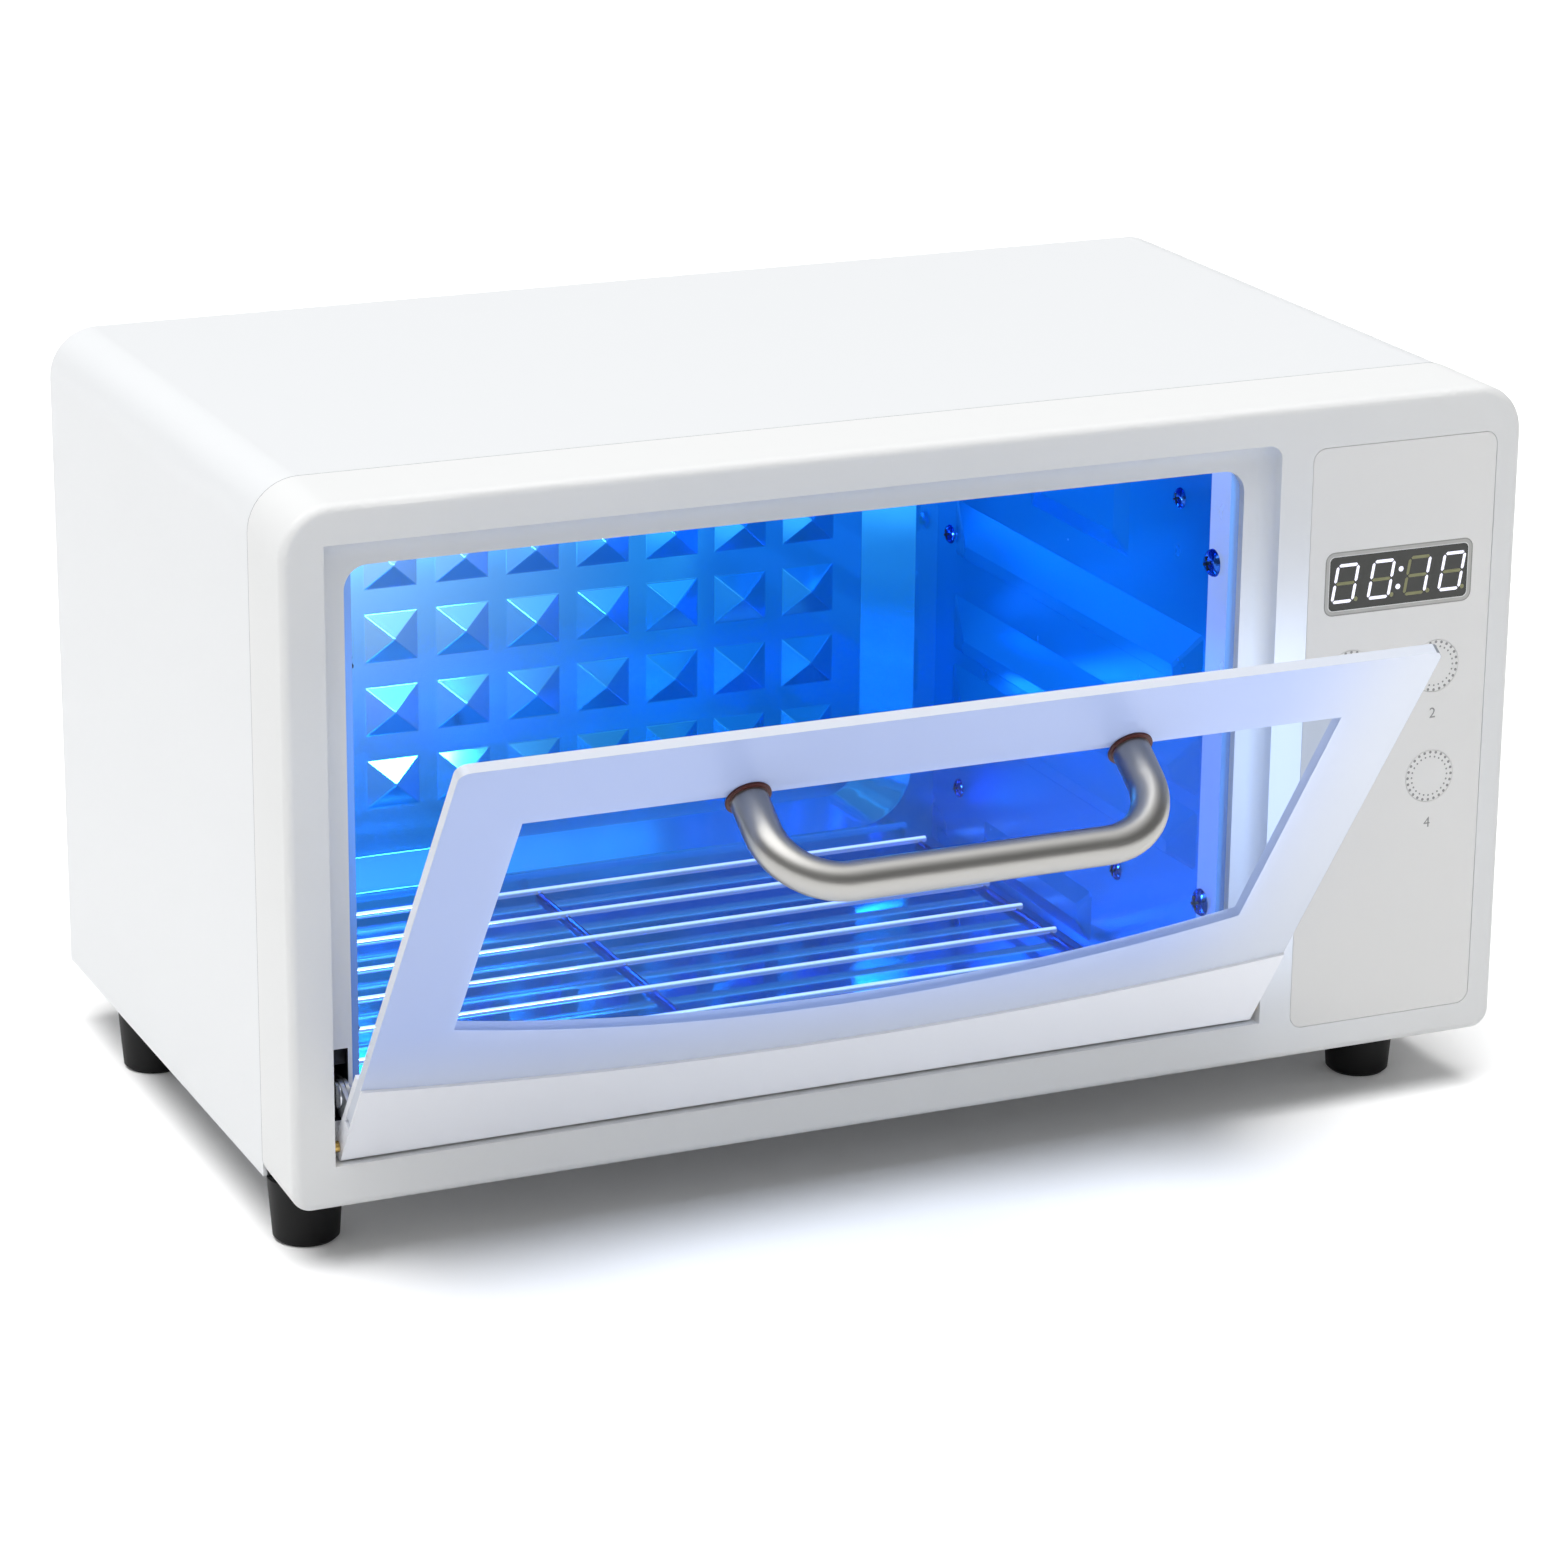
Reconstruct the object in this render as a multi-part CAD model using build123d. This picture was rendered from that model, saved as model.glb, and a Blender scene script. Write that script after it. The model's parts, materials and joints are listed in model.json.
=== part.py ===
from build123d import *
import math
import os

# A desktop ultraviolet sterilizer cabinet for nail tools. All sizes are in millimetres.
# While it is drawn, x runs left to right seen from the front and is 0 at the middle of the
# casing, y runs back from the front face, and z runs up from the underside of the casing.
# The door is drawn shut and then turned to where it rests, half open. At the end everything
# is moved so that the origin is the bottom middle of the box that the cabinet fills.

# The ultraviolet tube is a stock length, so it sets the width of the chamber, the chamber
# sets the width of the door, and the door and the control panel set the width of the casing
lamp_diameter = 16.0
lamp_length = 212.0
lamp_cap_length = 9.0
lamp_pin = 2.4
lamp_pin_pitch = 5.0
lamp_pin_length = 7.0
lamp_cap_rim = 0.2
holder_thickness = 11.0
holder_width = 17.4
holder_below = 8.7
holder_wall_gap = 10.0
reflector_width = 46.0
reflector_depth = 8.0
reflector_crown = 18.0
reflector_end_gap = 0.3
door_lap = 8.25
door_margin = 12.5
control_side = 77.0

# Steel casing: a folded wrapper over the top and both sides, a base pan and a rear cover
casing_height = 191.0
casing_depth = 181.0
casing_sheet = 1.0
casing_corner = 14.0
rear_fold = 12.0
pan_flange = 12.0
cover_gap = 0.3
cover_screw = 3.0
cover_screw_head = 6.5
cover_screw_height = 1.8
cover_screw_low = 45.0
cover_screw_high = 120.0
cover_screw_bite = 1.0
cover_screw_lift = 8.0

# Moulded front bezel
bezel_depth = 28.7
bezel_flare = 1.2
bezel_back_flare = 0.3
bezel_top_drop = 0.4
bezel_back_rise = 0.2
bezel_wall = 2.5
bezel_rim = 2.6
bezel_low_corner = 5.5
seam_gap = 0.3
tongue_length = 5.0
tongue_wall = 1.6
tongue_gap = 0.2
pan_tongue_gap = 2.0
lug_length = 16.0
lug_height = 14.0
lug_thickness = 3.0

# Door recess and window opening in the bezel, both centred on the chamber
recess_depth = 7.0
recess_hollow = 4.0
recess_hollow_top = 6.0
recess_side_gap = 2.0
recess_under_gap = 1.3
recess_over_gap = 2.1
opening_side_inset = 5.5
opening_top_inset = 5.7
opening_bottom = 24.5
opening_corner = 6.5

# Door: a glass pane held by a moulded rail with a curved upper edge
door_bottom = 13.3
door_top_gap = 13.1
door_face = 1.0
door_rest_angle = 35.0
glass_thickness = 3.0
glass_corner = 3.0
glass_foot = 14.0
rail_lip = 0.8
rail_back = 2.0
rail_end_height = 32.3
rail_mid_height = 22.7
rail_under_radius = 2.5
rail_toe_radius = 1.5
rail_rib_height = 5.0
rail_rib_depth = 2.4
rail_rib_inset = 8.0

# Handle: a bent tube on two screws
handle_diameter = 10.0
handle_reach = 29.0
handle_span = 106.2
handle_aside = -1.35
handle_from_top = 24.3
handle_bend = 18.0
handle_screw = 4.0
handle_screw_bite = 10.0
screw_head = 8.0
screw_head_height = 2.4
head_taper = 30.0
gasket_rim = 1.1
gasket_thickness = 0.8

# Hinge: pins in the bezel, ears on the rail, links pulled back by springs
hinge_y = 3.5
hinge_z = 16.3
pin_diameter = 3.0
pin_reach = 8.0
pin_boss = 3.5
pin_boss_wall = 1.0
pin_boss_length = 3.0
pin_end_gap = 0.5
pin_clearance = 0.05
slot_low = 22.0
slot_high = 42.0
slot_width = 4.8
slot_from_end = 0.5
ear_thickness = 1.2
ear_from_end = 0.9
ear_boss = 4.0
ear_root_depth = 3.0
ear_root_low = 2.7
ear_root_high = 10.5
ear_neck_rise = 0.8
rivet_back = 9.6
rivet_up = 9.9
rivet_diameter = 3.2
rivet_head = 7.6
rivet_head_height = 0.7
rivet_foot = 5.6
rivet_foot_height = 0.55
link_thickness = 1.0
link_gap = 0.15
link_boss = 4.0
link_width = 7.0
link_length = 50.0
hook_hole = 2.6
spring_wire = 1.0
spring_diameter = 6.0
spring_tail = 12.0
hook_aside = 0.7
spring_length = 56.3
anchor_width = 8.0
anchor_over = 6.0

# Stainless chamber
chamber_floor = 8.0
ceiling_gap = 16.0
chamber_rear_gap = 16.7
liner_sheet = 0.7
jamb_fold = 3.4
floor_lip = 15.0

# Pressed tray and pyramids in the back liner
tray_depth = 7.0
tray_side = 7.5
tray_other_side = 3.0
tray_side_slope = 15.0
tray_low = 6.6
tray_low_slope = 9.0
tray_corner = 18.0
tray_floor_corner = 12.0
pyramid_width = 16.7
pyramid_tall = 15.0
pyramid_height = 3.2
pyramid_tip = 0.6
pyramid_pitch_x = 22.6
pyramid_pitch_z = 22.75
pyramid_shift = -4.1

# Pressed ribs and panels in the side liners
rib_lows = (52.0, 74.0, 104.0)
rib_height = 17.0
rib_front = 22.0
rib_rear_gap = 13.0
rib_depth = 3.0
rib_crest = 4.0
rib_crest_rise = 1.6
rib_end_slope = 12.0
panel_front = 68.0
panel_length = 62.0
panel_low = 132.0
panel_tall = 34.0
panel_depth = 2.0
panel_slope = 6.0
form_corner = 2.0
foot_panel_front = 84.0
foot_panel_length = 72.0
foot_panel_low = 9.5
foot_panel_tall = 15.5
jamb_screw_heights = (44.0, 143.4)
wall_screws_ahead = ((38.0, 156.8), (69.0, 37.0))
wall_screws_behind = ((9.0, 109.0), (19.0, 30.0))
wall_screw = 3.0
wall_screw_head = 6.0
wall_screw_height = 1.6
wall_screw_reach = 2.5

# Wire rack
rack_wire = 2.0
rack_side_gap = 7.5
rack_support_shift = -7.75
rack_first = 28.0
rack_rear_gap = 7.0
rack_wires = 8
rack_weld = 0.6

# Where the tube hangs under the ceiling
lamp_y = 100.0
lamp_drop = 19.5

# Control panel: film, display and four keys
film_width = 58.0
film_from_edge = 36.0
film_bottom = 9.0
film_top_gap = 13.3
film_corner = 3.8
film_thickness = 0.5
film_sunk = 0.1
film_gap = 0.2
display_width = 44.0
display_height = 15.4
display_aside = -0.5
display_from_top = 60.0
display_corner = 1.5
display_lens = 1.5
display_body_height = 19.0
display_body_side = 2.0
key_diameter = 15.0
key_gap = 0.15
key_travel = 0.3
key_pitch_x = 27.1
key_pitch_z = 32.4
key_aside = -0.95
key_low_from_top = 111.9
plunger_diameter = 10.0
plunger_gap = 0.3
plunger_flange = 12.4
plunger_flange_thickness = 0.6
plunger_stem = 4.0
switch_size = 6.0
switch_height = 3.5
switch_button = 3.4
switch_button_height = 0.6
switch_button_gap = 0.05
flange_gap = 0.1

# Control board, power board and inlet
board_y = 9.0
board_thickness = 1.6
board_width = 50.0
board_height = 92.0
board_from_top = 33.0
board_boss = 6.0
board_inset = 5.0
board_screw = 2.4
board_screw_head = 5.0
board_screw_height = 1.6
board_screw_reach = 1.0
power_aside = -2.0
power_board_gap = 10.0
power_board_width = 58.0
power_board_front_gap = 14.3
standoff_height = 8.0
standoff_diameter = 6.0
standoff_pin = 3.0
standoff_pin_height = 1.5
transformer_size = (30.0, 28.0, 22.0)
transformer_place = (0.0, 22.0)
choke_size = (20.0, 18.0, 16.0)
choke_place = (-12.0, -31.0)
terminal_size = (36.0, 10.0, 11.0)
terminal_place = (0.0, -9.0)
capacitor_diameter = 10.0
capacitor_height = 20.0
capacitor_place = (12.0, -34.0)
ballast_aside = -25.0
ballast_from_back = 37.7
ballast_size = (28.0, 30.0, 24.0)
inlet_z = 40.0
inlet_width = 26.0
inlet_height = 18.0
inlet_depth = 20.0
inlet_flange = 2.0
inlet_rim = 2.5
inlet_corner = 2.0
contact_tail = 4.0
contact_sunk = 4.0
socket_width = 17.0
socket_height = 9.0
socket_depth = 14.0
socket_pin = 2.4
socket_pin_pitch = 8.6
vent_slots = 9
vent_pitch = 8.0
vent_width = 3.0
vent_length = 46.0
vent_low = 92.0
vent_aside = -16.0

# Feet
foot_top = 20.7
foot_bottom = 17.9
foot_height = 18.0
foot_left_inset = 11.0
foot_right_inset = 26.5
foot_front = 27.0
foot_rear_inset = 46.7
foot_edge = 1.0
foot_well = 9.0
foot_well_depth = 10.0
foot_screw = 4.0
foot_screw_length = 14.0
foot_screw_head = 7.0
foot_screw_height = 2.4
pan_step = 3.5

# Places that follow from the sizes above
back_face = bezel_depth + casing_depth
chamber_width = lamp_length + 2 * (holder_thickness + holder_wall_gap)
door_width = chamber_width + 2 * door_lap
door_height = casing_height - door_bottom - door_top_gap
casing_width = door_margin + door_width + control_side
half_casing = casing_width / 2
half_chamber = chamber_width / 2
half_door = door_width / 2
chamber_centre = door_margin + half_door - half_casing
chamber_ceiling = casing_height - ceiling_gap
chamber_back = back_face - chamber_rear_gap
rib_back = chamber_back - rib_rear_gap
wall_screw_places = wall_screws_ahead + tuple((chamber_back - y, z) for y, z in wall_screws_behind)
opening_width = door_width - 2 * opening_side_inset
opening_top = door_bottom + door_height - opening_top_inset
handle_centre = chamber_centre + handle_aside
handle_height = door_height - handle_from_top
rack_width = chamber_width - 2 * rack_side_gap
rack_last = chamber_back - rack_rear_gap
lamp_z = chamber_ceiling - lamp_drop
recess_low = door_bottom - recess_under_gap
recess_high = door_bottom + door_height + recess_over_gap
recess_half = half_door + recess_side_gap
inner_wall = recess_depth + bezel_wall
rail_front = door_face - rail_lip
rail_rear = door_face + glass_thickness + rail_back
rivet_y = hinge_y + rivet_back
rivet_z = hinge_z + rivet_up
film_back = film_sunk + film_thickness
film_centre = half_casing - film_from_edge
film_left = film_centre - film_width / 2
film_height = casing_height - film_bottom - film_top_gap
display_centre = film_centre + display_aside
display_bottom = casing_height - display_from_top
display_z = display_bottom + display_height / 2
key_centre_x = film_centre + key_aside
key_low_z = casing_height - key_low_from_top
board_high = casing_height - board_from_top
board_low = board_high - board_height
inlet_x = film_centre + power_aside
power_board_x = film_centre + power_aside
vent_centre = film_centre + vent_aside
ballast_x = film_centre + ballast_aside
ballast_y = back_face - ballast_from_back
power_board_front = bezel_depth + power_board_front_gap
power_board_back = ballast_y - ballast_size[1] / 2 - power_board_gap
power_board_length = power_board_back - power_board_front
power_board_y = (power_board_front + power_board_back) / 2
foot_left = foot_left_inset - half_casing
foot_right = half_casing - foot_right_inset
foot_rear = back_face - foot_rear_inset
key_places = [
    (key_centre_x + side * key_pitch_x / 2, key_low_z + row * key_pitch_z)
    for row in (1, 0)
    for side in (-1, 1)
]


def block(x, y, z):
    """A box between two places on each axis."""
    size = [high - low for low, high in (x, y, z)]
    return Pos(x[0], y[0], z[0]) * Box(*size, align=(Align.MIN, Align.MIN, Align.MIN))


def standing(x, y, z, size):
    """A box that stands on z with its middle over x and y."""
    return Pos(x, y, z) * Box(*size, align=(Align.CENTER, Align.CENTER, Align.MIN))


def facing(y):
    """A drawing plane that looks along y, with x to the right and z up."""
    return Plane(origin=(0, y, 0), x_dir=(1, 0, 0), z_dir=(0, -1, 0))


def siding(x):
    """A drawing plane across x, with y to the right and z up."""
    return Plane(origin=(x, 0, 0), x_dir=(0, 1, 0), z_dir=(1, 0, 0))


def rounded(x, z, radius):
    """A rounded rectangle drawn between two places on each axis."""
    centre = Pos((x[0] + x[1]) / 2, (z[0] + z[1]) / 2)
    return centre * RectangleRounded(x[1] - x[0], z[1] - z[0], radius)


def framed(x, z):
    """A rectangle with small cut corners, drawn between two places on each axis."""
    outline = Pos((x[0] + x[1]) / 2, (z[0] + z[1]) / 2) * Rectangle(x[1] - x[0], z[1] - z[0])
    return chamfer(outline.vertices(), form_corner / 2)


def slab(x, z, y, radius):
    """A rounded rectangle seen from the front, from the first y to the second."""
    return extrude(facing(y[1]) * rounded(x, z, radius), y[1] - y[0])


def rod(start, end, radius):
    """A round bar between two points."""
    line = Vector(*end) - Vector(*start)
    disc = Plane(origin=start, z_dir=line) * Circle(radius)
    return extrude(disc, line.length)


def shank(start, end, radius):
    """A screw's shank, drawn with eight flats that touch its round hole."""
    line = Vector(*end) - Vector(*start)
    outline = Plane(origin=start, z_dir=line) * RegularPolygon(radius, 8)
    return extrude(outline, line.length)


def pan_head(start, direction, diameter, height):
    """A screw head that stands on start and narrows towards its top."""
    return extrude(Plane(origin=start, z_dir=direction) * Circle(diameter / 2), height, taper=head_taper)


def mirrored(solid):
    """The same solid on the other side of the chamber's middle."""
    return mirror(solid, Plane(origin=(chamber_centre, 0, 0), z_dir=(1, 0, 0)))


def arch(half_width, low, high, top_radius, low_radius, y):
    """The cabinet's outline seen from the front, with round upper corners."""
    outline = facing(y) * (Pos(0, (low + high) / 2) * Rectangle(2 * half_width, high - low))
    corners = outline.vertices().sort_by(Axis.Z)
    outline = fillet(corners[2:], top_radius)
    if low_radius:
        outline = fillet(outline.vertices().sort_by(Axis.Z)[:2], low_radius)
    return outline


def make_casing():
    """Wrapper, base pan and rear cover."""
    front = bezel_depth + seam_gap
    length = back_face - front
    outer = extrude(arch(half_casing, 0, casing_height, casing_corner, 0, back_face), length)
    inner_half = half_casing - casing_sheet
    inner_top = casing_height - casing_sheet
    inner_radius = casing_corner - casing_sheet
    hollow = extrude(arch(inner_half, -1, inner_top, inner_radius, 0, back_face), length)
    fold_y = back_face - casing_sheet - cover_gap
    fold = extrude(arch(inner_half, 0, inner_top, inner_radius, 0, fold_y), casing_sheet)
    window = extrude(
        arch(inner_half - rear_fold, -1, inner_top - rear_fold, inner_radius, 0, fold_y),
        casing_sheet,
    )
    wrapper = outer - hollow + (fold - window)

    half = inner_half - cover_gap
    rear = fold_y - casing_sheet - cover_gap
    step_y = bezel_depth + seam_gap
    ledge = bezel_wall + casing_sheet
    pan = block((-half, half), (step_y, rear), (0, casing_sheet))
    pan += block((-half, half), (step_y, step_y + casing_sheet), (0, ledge))
    tongue_half = half - tongue_wall - 2 * tongue_gap - pan_step
    pan_front = inner_wall + pan_tongue_gap
    pan += block((-tongue_half, tongue_half), (pan_front, step_y + casing_sheet), (bezel_wall, ledge))
    for side in (-1, 1):
        edge = sorted((side * half, side * (half - casing_sheet)))
        pan += block(edge, (step_y + tongue_length + pan_step, rear), (0, pan_flange))
    pan += block((-half, half), (rear - casing_sheet, rear), (0, pan_flange + casing_sheet))
    for x, y in foot_places():
        pan -= rod((x, y, -1), (x, y, ledge + 1), foot_screw / 2)

    cover_y = back_face - casing_sheet
    cover_half = inner_half - cover_gap
    cover = extrude(
        arch(cover_half, casing_sheet, inner_top - cover_gap, inner_radius, 0, back_face),
        casing_sheet,
    )
    slots = []
    for number in range(vent_slots):
        z = vent_low + number * vent_pitch
        slot = (vent_centre - vent_length / 2, vent_centre + vent_length / 2)
        slots.append(block(slot, (cover_y - 1, back_face + 1), (z, z + vent_width)))
    hole_x = (inlet_x - inlet_width / 2, inlet_x + inlet_width / 2)
    hole_z = (inlet_z - inlet_height / 2, inlet_z + inlet_height / 2)
    slots.append(slab(hole_x, hole_z, (cover_y - 1, back_face + 1), inlet_corner))
    cover = cover - slots

    screws = []
    edge_x = inner_half - rear_fold / 2
    places = [(side * edge_x, z) for side in (-1, 1) for z in (cover_screw_low, cover_screw_high)]
    places += [(side * half_casing / 2, inner_top - rear_fold / 2) for side in (-1, 1)]
    places += [(side * half_casing / 2, cover_screw_lift) for side in (-1, 1)]
    for x, z in places:
        reach = rear - casing_sheet if z < pan_flange else fold_y - casing_sheet
        tip = reach - cover_screw_bite
        body = shank((x, tip, z), (x, back_face, z), cover_screw / 2)
        hole = rod((x, tip - 1, z), (x, back_face + 1, z), cover_screw / 2)
        head = pan_head((x, back_face, z), (0, 1, 0), cover_screw_head, cover_screw_height)
        screws.append(body + head)
        cover -= hole
        wrapper -= hole
        pan -= hole
    return {"outer_casing": wrapper, "base_pan": pan, "rear_cover": cover, "cover_screws": screws}


def foot_places():
    """Where the four feet stand."""
    return [(x, y) for x in (foot_left, foot_right) for y in (foot_front, foot_rear)]


def make_bezel():
    """The moulded front: skirt, door recess, opening, control wall, slots and bosses."""
    face_half = half_casing + bezel_flare
    back_half = half_casing + bezel_back_flare
    face = arch(face_half, 0, casing_height - bezel_top_drop, casing_corner, bezel_low_corner, 0)
    back_high = casing_height + bezel_back_rise
    back = arch(back_half, 0, back_high, casing_corner, bezel_low_corner, bezel_depth)
    shell = loft([face, back], ruled=True)
    rim = shell.faces().sort_by(Axis.Y)[0].edges()
    shell = fillet(rim, bezel_rim)

    # The skirt is hollow behind the control wall and behind the recess floor
    inner_radius = casing_corner - bezel_wall
    inside = (back_half - bezel_wall, casing_height - bezel_wall)
    deep = arch(inside[0], bezel_wall, inside[1], inner_radius, 3, bezel_depth + 1)
    shell -= extrude(deep, bezel_depth + 1 - inner_wall)
    control_x = chamber_centre + recess_half + bezel_wall
    shallow = extrude(deep, bezel_depth + 1 - bezel_wall)
    shell -= shallow & block((control_x, half_casing), (0, bezel_depth), (0, casing_height))
    shell -= shallow & block(
        (-half_casing, chamber_centre - recess_half - bezel_wall), (0, bezel_depth), (0, casing_height)
    )

    # Recess with hollow rounded sides, and the opening through its floor
    recess_x = (chamber_centre - recess_half, chamber_centre + recess_half)
    recess = block(recess_x, (0, recess_depth), (recess_low, recess_high))
    floor_edges = recess.faces().sort_by(Axis.Y)[-1].edges()
    recess = fillet(floor_edges.sort_by(Axis.Z)[-1], recess_hollow_top)
    floor_edges = recess.faces().filter_by(Axis.Y).sort_by(Axis.Y)[-1].edges()
    recess = fillet(floor_edges.filter_by(Axis.Z).sort_by(Axis.X)[-1], recess_hollow)
    shell -= recess
    opening_x = (chamber_centre - opening_width / 2, chamber_centre + opening_width / 2)
    shell -= slab(opening_x, (opening_bottom, opening_top), (0, inner_wall + 1), opening_corner)

    # Seat for the film, hole for the display and guides for the keys
    film_x = (film_left - film_gap, film_left + film_width + film_gap)
    film_z = (film_bottom - film_gap, film_bottom + film_height + film_gap)
    shell -= slab(film_x, film_z, (-1, film_back), film_corner + film_gap)
    lens_x = (display_centre - display_width / 2 - film_gap, display_centre + display_width / 2 + film_gap)
    lens_z = (display_bottom - film_gap, display_bottom + display_height + film_gap)
    shell -= slab(lens_x, lens_z, (-1, bezel_wall + 1), display_corner)
    for x, z in key_places:
        pocket = film_back + key_travel + key_gap
        shell -= rod((x, -1, z), (x, pocket, z), key_diameter / 2 + key_gap)
        shell -= rod((x, 0, z), (x, bezel_wall + 1, z), plunger_diameter / 2 + plunger_gap)

    # Bosses for the control board
    for x, z in board_corners():
        boss = rod((x, bezel_wall - 1, z), (x, board_y, z), board_boss / 2)
        shell += boss - rod((x, bezel_wall, z), (x, board_y + 1, z), board_screw / 2)

    # Tongue that slides inside the casing
    gap = casing_sheet + tongue_gap
    outer = arch(half_casing - gap, gap + bezel_wall + pan_step, casing_height - gap, casing_corner - gap, 0,
                 bezel_depth + tongue_length)
    wall = gap + tongue_wall
    inner = arch(half_casing - wall, 0, casing_height - wall, casing_corner - wall, 0,
                 bezel_depth + tongue_length)
    shell += extrude(outer, tongue_length + bezel_wall) - extrude(inner, tongue_length + bezel_wall)

    # Pin bosses, link slots and screw lugs, the same on both sides of the chamber
    end = chamber_centre - half_door
    boss_end = end - recess_side_gap - bezel_wall - pin_boss_length
    boss = rod((boss_end, hinge_y, hinge_z), (end - recess_side_gap, hinge_y, hinge_z), pin_boss)
    pin_hole = rod((boss_end + pin_boss_wall, hinge_y, hinge_z), (end, hinge_y, hinge_z), pin_diameter / 2)
    slot_x = (end - slot_from_end, end - slot_from_end + slot_width)
    slot = block(slot_x, (recess_depth - 1, inner_wall + 1), (slot_low, slot_high))
    wall_x = chamber_centre - half_chamber - liner_sheet
    for flip in (False, True):
        fix = mirrored if flip else lambda solid: solid
        shell += fix(boss)
        shell -= fix(pin_hole)
        shell -= fix(slot)
        for z in jamb_screw_heights:
            lug_z = (z - lug_height / 2, z + lug_height / 2)
            lug_y = (inner_wall + liner_sheet, inner_wall + lug_length)
            lug = block((wall_x - lug_thickness, wall_x), lug_y, lug_z)
            foot = block(
                (wall_x - lug_thickness - jamb_fold, wall_x - jamb_fold),
                (inner_wall - 0.5, inner_wall + liner_sheet + 2),
                lug_z,
            )
            arm = block(
                (wall_x - lug_thickness - jamb_fold, wall_x - lug_thickness),
                (inner_wall + liner_sheet, inner_wall + liner_sheet + 2),
                lug_z,
            )
            hole = rod(
                (wall_x - lug_thickness - 1, inner_wall + lug_length / 2, z),
                (wall_x + 1, inner_wall + lug_length / 2, z),
                wall_screw / 2,
            )
            shell += fix(lug + foot + arm)
            shell -= fix(hole)

    # Clearance holes for the screws of the two front feet
    for x, y in foot_places():
        if y < bezel_depth:
            shell -= rod((x, y, -1), (x, y, bezel_wall + 1), foot_screw / 2)
    return {"front_bezel": shell}


def make_door():
    """Glass, rail, handle, gaskets, screws, ears and rivets, all drawn shut."""
    left = chamber_centre - half_door
    right = chamber_centre + half_door
    top = door_bottom + door_height
    glass_low = door_bottom + glass_foot
    glass_y = (door_face, door_face + glass_thickness)
    glass = slab((left, right), (glass_low, top), glass_y, glass_corner)
    glass = chamfer(glass.faces().sort_by(Axis.Y)[0].edges(), 0.4)

    # The rail's upper edge is one arc, lowest in the middle
    low_left = (left, door_bottom)
    low_right = (right, door_bottom)
    end_z = door_bottom + rail_end_height
    middle = (chamber_centre, door_bottom + rail_mid_height)
    outline = make_face(
        [
            Edge.make_line(low_left, low_right),
            Edge.make_line(low_right, (right, end_z)),
            Edge.make_three_point_arc((right, end_z), middle, (left, end_z)),
            Edge.make_line((left, end_z), low_left),
        ]
    )
    rail = extrude(facing(rail_rear) * outline, rail_rear - rail_front)
    under = rail.edges().filter_by(Axis.X).sort_by(Axis.Y)
    rail = fillet(under[-1], rail_under_radius)
    toe = rail.edges().filter_by(Axis.X).sort_by(Axis.Y)[0]
    rail = fillet(toe, rail_toe_radius)
    rail -= block((left - 1, right + 1), glass_y, (glass_low, top))
    rib_x = (left + rail_rib_inset, right - rail_rib_inset)
    rib_z = (glass_low, glass_low + rail_rib_height)
    rail += block(rib_x, (rail_rear - 0.5, rail_rear + rail_rib_depth), rib_z)

    pin_hole = rod(
        (left - 1, hinge_y, hinge_z),
        (left + pin_reach, hinge_y, hinge_z),
        pin_diameter / 2 + pin_clearance,
    )
    ear, rivet = make_ear(left)
    root = ear_root(left)
    ears, rivets = [], []
    for flip in (False, True):
        fix = mirrored if flip else lambda solid: solid
        rail -= fix(pin_hole)
        rail -= fix(root)
        ears.append(fix(ear))
        rivets.append(fix(rivet))

    # Handle: two legs and a bar in one bent tube, screwed from behind the glass
    post_x = [handle_centre + side * handle_span / 2 for side in (-1, 1)]
    post_z = door_bottom + handle_height
    foot_y = door_face - gasket_thickness
    bar_y = door_face - handle_reach
    path = FilletPolyline(
        (post_x[0], foot_y, post_z),
        (post_x[0], bar_y, post_z),
        (post_x[1], bar_y, post_z),
        (post_x[1], foot_y, post_z),
        radius=handle_bend,
    )
    section = Plane(origin=(post_x[0], foot_y, post_z), z_dir=(0, -1, 0)) * Circle(handle_diameter / 2)
    handle = sweep(section, path=path)
    gaskets, screws = [], []
    behind = door_face + glass_thickness
    for x in post_x:
        glass -= rod((x, door_face - 1, post_z), (x, behind + 1, post_z), handle_screw / 2)
        bite = (x, foot_y - handle_screw_bite, post_z)
        handle -= rod(bite, (x, foot_y + 1, post_z), handle_screw / 2)
        ring = rod((x, foot_y, post_z), (x, door_face, post_z), handle_diameter / 2 + gasket_rim)
        gaskets.append(ring - rod((x, foot_y - 1, post_z), (x, door_face + 1, post_z), handle_screw / 2))
        body = shank(bite, (x, behind, post_z), handle_screw / 2)
        screws.append(body + pan_head((x, behind, post_z), (0, 1, 0), screw_head, screw_head_height))
    door = {
        "door_glass": glass,
        "door_rail": rail,
        "door_handle": handle,
        "handle_gaskets": gaskets,
        "handle_screws": screws,
        "hinge_ears": ears,
        "ear_rivets": rivets,
    }
    return {name: turned(piece) for name, piece in door.items()}


def ear_root(left):
    """The part of an ear that is let into the back of the rail."""
    ear_x = (left + ear_from_end, left + ear_from_end + ear_thickness)
    root_y = (rail_rear - ear_root_depth, rail_rear)
    return block(ear_x, root_y, (hinge_z + ear_root_low, hinge_z + ear_root_high))


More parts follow.
